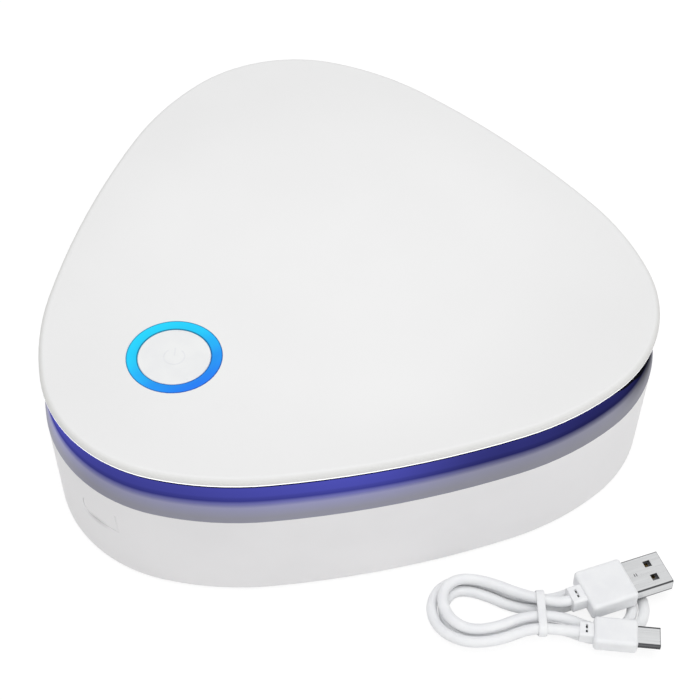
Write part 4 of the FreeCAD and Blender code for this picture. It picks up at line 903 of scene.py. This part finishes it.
def set_marks(name, places, turns, length, width, depth, sides, finish):
    """Put marks on points, and turn the result into a plain mesh."""
    points = bpy.data.meshes.new(name + "_points")
    points.from_pydata(places, [], [])
    turned = points.attributes.new("turn", "FLOAT_VECTOR", "POINT")
    for row, turn in zip(turned.data, turns):
        row.vector = (0.0, 0.0, turn)
    maker = new_object(name + "_maker", points)
    change = maker.modifiers.new("marks", "NODES")
    change.node_group = MARKS
    values = {"Length": length, "Width": width, "Depth": depth, "Sides": sides, "Finish": finish}
    for socket in MARKS.interface.items_tree:
        if socket.in_out == "INPUT" and socket.name in values:
            change[socket.identifier] = values[socket.name]
    seen = maker.evaluated_get(bpy.context.evaluated_depsgraph_get())
    piece = new_object(name, bpy.data.meshes.new_from_object(seen))
    bpy.data.objects.remove(maker)
    piece.data.materials.clear()
    piece.data.materials.append(finish)
    return piece


# %% Painted shade in the cross recesses of the screw heads
def spot(reach, turn):
    """A place at a distance and a direction from the middle of the case."""
    heading = math.radians(turn)
    return CASE_MIDDLE + Vector((reach * math.cos(heading), reach * math.sin(heading), 0))


SIDE_TURNS = (90, 210, 330)
SCREW_REACH, SCREW_TURN = 60.1422 * MM, 20
CROSS_LENGTH, CROSS_WIDTH, CROSS_DEPTH = 2.9 * MM, 0.75 * MM, 0.08 * MM
COVER_SCREW_FACE, TRAY_SCREW_FACE = 1.3 * MM, 48.0 * MM


def cross_recess_shades(name, height):
    """Painted shade in two crossed slots in each of three screw heads that face down."""
    places, turns = [], []
    for side in SIDE_TURNS:
        for arm in (0, 90):
            places.append(spot(SCREW_REACH, side) + Vector((0, 0, height)))
            turns.append(math.radians(side + arm + SCREW_TURN))
    return set_marks(name, places, turns, CROSS_LENGTH, CROSS_WIDTH, CROSS_DEPTH, 16, FINISHES["dark_parts"])


cover_cross_shades = cross_recess_shades("cover_screw_cross_shades", COVER_SCREW_FACE)
tray_cross_shades = cross_recess_shades("tray_screw_cross_shades", TRAY_SCREW_FACE)
print("crosses:", len(cover_cross_shades.data.polygons), "and", len(tray_cross_shades.data.polygons), "faces")

# %% Dots on the lamps
LAMP_REACH = 30.0 * MM
DOT_WIDTH, DOT_DEPTH = 2.3 * MM, 0.06 * MM
FLOOR_LAMP_FACE, TRAY_LAMP_FACE = 26.8 * MM, 48.9 * MM


def lamp_dots(name, height):
    """A round dot on each of three lamps."""
    places = [spot(LAMP_REACH, side) + Vector((0, 0, height)) for side in SIDE_TURNS]
    return set_marks(name, places, [0.0] * 3, DOT_WIDTH, DOT_WIDTH, DOT_DEPTH, 32, FINISHES["lamp_dot"])


moulded("lamp_dot", tint(226, 196, 96), tint(240, 212, 120), 0.3, grain_mm=0.1, patch_mm=0.8)
floor_dots = lamp_dots("floor_lamp_dots", FLOOR_LAMP_FACE)
tray_dots = lamp_dots("tray_lamp_dots", TRAY_LAMP_FACE)
print("lamp dots:", len(floor_dots.data.vertices), "points")

# %% Painted shade in the slots of the strain reliefs, and the seam of the larger plug
DASH_SPACE, DASH_LENGTH, DASH_WIDTH, DASH_DEPTH = 0.85 * MM, 0.66 * MM, 1.1 * MM, 0.1 * MM
RELIEF_A_MIDDLE, RELIEF_A_FACE = 2.25 * MM, 9.1 * MM
RELIEF_B_MIDDLE, RELIEF_B_FACE = 2.1 * MM, 8.1 * MM
SEAM_LENGTH, SEAM_WIDTH, SEAM_DEPTH = 0.25 * MM, 1.3 * MM, 0.06 * MM
SEAM_BACKS = (22.0, 22.7)


def relief_slot_shades(plug, back, top):
    """Two short marks of painted slot shade in a row across a strain relief."""
    way = plug_way(plug)
    side = Vector((-way.y, way.x, 0))
    middle = plug[0] + way * back
    middle.z = top
    return [middle + side * DASH_SPACE, middle - side * DASH_SPACE]


dash_places = relief_slot_shades(PLUG_A, RELIEF_A_MIDDLE, RELIEF_A_FACE)
dash_places += relief_slot_shades(PLUG_B, RELIEF_B_MIDDLE, RELIEF_B_FACE)
dash_turns = [PLUG_A[1]] * 2 + [PLUG_B[1]] * 2
# painted shade: two short dark marks in each strain relief where its slots are
slot_shades = set_marks("relief_slot_shades", dash_places, dash_turns, DASH_LENGTH, DASH_WIDTH, DASH_DEPTH, 12,
                   FINISHES["dark_parts"])
seam_places = [PLUG_A[0] + plug_way(PLUG_A) * back * MM for back in SEAM_BACKS]
for place in seam_places:
    place.z = SHELL_A_TOP
seam = set_marks("shell_seam", seam_places, [PLUG_A[1]] * 2, SEAM_LENGTH, SEAM_WIDTH, SEAM_DEPTH, 12,
                 FINISHES["dark_parts"])
print("dashes:", len(dash_places), "and seam marks:", len(seam_places))

# %% [markdown]
# ## The sign on the button
# A power sign is pressed faintly into the cap: most of a ring, with a short bar in its opening. It could be
# a text or a picture. Two thin plates are easier to keep sharp, and they ride with the button when it is
# pressed.

# %% Power sign
def arc_plate(shape, middle, inner, outer, start, end, low, high, parts):
    """A flat plate along an arc."""
    rows = []
    for part in range(parts + 1):
        turn = start + (end - start) * part / parts
        out = Vector((math.cos(turn), math.sin(turn), 0))
        rows.append([shape.verts.new(middle + out * reach + Vector((0, 0, height)))
                     for reach, height in ((inner, low), (outer, low), (outer, high), (inner, high))])
    for row, after in zip(rows, rows[1:]):
        for number in range(4):
            following = (number + 1) % 4
            shape.faces.new((row[number], row[following], after[following], after[number]))
    shape.faces.new(rows[0][::-1])
    shape.faces.new(rows[-1])


def bar_plate(shape, middle, way, start, end, width, low, high):
    """A flat bar from one distance to another along a way."""
    side = Vector((-way.y, way.x, 0)) * width / 2
    corners = [middle + way * start - side, middle + way * end - side, middle + way * end + side,
               middle + way * start + side]
    lower = [shape.verts.new(corner + Vector((0, 0, low))) for corner in corners]
    upper = [shape.verts.new(corner + Vector((0, 0, high))) for corner in corners]
    shape.faces.new(lower[::-1])
    shape.faces.new(upper)
    for number in range(4):
        following = (number + 1) % 4
        shape.faces.new((lower[number], lower[following], upper[following], upper[number]))


SIGN_TURN, SIGN_GAP = math.radians(133.5), math.radians(38)
SIGN_IN, SIGN_OUT, SIGN_PARTS = 3.0 * MM, 3.5 * MM, 48
BAR_START, BAR_END, BAR_WIDTH = 0.4 * MM, 3.7 * MM, 0.5 * MM
CAP_TOP, HALF_SIGN = 57.0 * MM, 0.02 * MM
SIGN_LOW, SIGN_HIGH = CAP_TOP - HALF_SIGN, CAP_TOP + HALF_SIGN
shape = bmesh.new()
arc_plate(shape, BUTTON_PLACE, SIGN_IN, SIGN_OUT, SIGN_TURN + SIGN_GAP, SIGN_TURN + math.tau - SIGN_GAP,
          SIGN_LOW, SIGN_HIGH, SIGN_PARTS)
sign_way = Vector((math.cos(SIGN_TURN), math.sin(SIGN_TURN), 0))
bar_plate(shape, BUTTON_PLACE, sign_way, BAR_START, BAR_END, BAR_WIDTH, SIGN_LOW, SIGN_HIGH)
bmesh.ops.recalc_face_normals(shape, faces=shape.faces)
sign_mesh = bpy.data.meshes.new("power_sign")
shape.to_mesh(sign_mesh)
shape.free()
sign = new_object("power_sign", sign_mesh)
moulded("sign_grey", tint(230, 231, 233), tint(233, 234, 236), 0.4, patch_mm=2.0)
sign.data.materials.append(FINISHES["sign_grey"])
print("power sign:", len(sign_mesh.polygons), "faces")

# %% [markdown]
# ## What moves with what
# Each new piece is tied to the body that carries it, so that it follows when the lid opens or the button is
# pressed. The soft cord and band take the place of their plain solids.

# %% Ties to the bodies
for piece in (cord, tie):
    piece.data.materials.append(FINISHES["cable_white"])
RIDES = ((cord, "base", "cable_white"), (tie, "base", "cable_white"), (slot_shades, "base", "dark_parts"),
         (seam, "base", "dark_parts"), (cover_cross_shades, "base", "dark_parts"),
         (floor_dots, "base", "lamp_white"), (tray_cross_shades, "lid", "dark_parts"),
         (tray_dots, "lid", "lamp_white"), (sign, "button", "cap_white"))
for piece, body, slot in RIDES:
    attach(piece, body)
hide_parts("cable_cord")
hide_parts("cable_tie")
print("pieces on bodies:", len(RIDES))
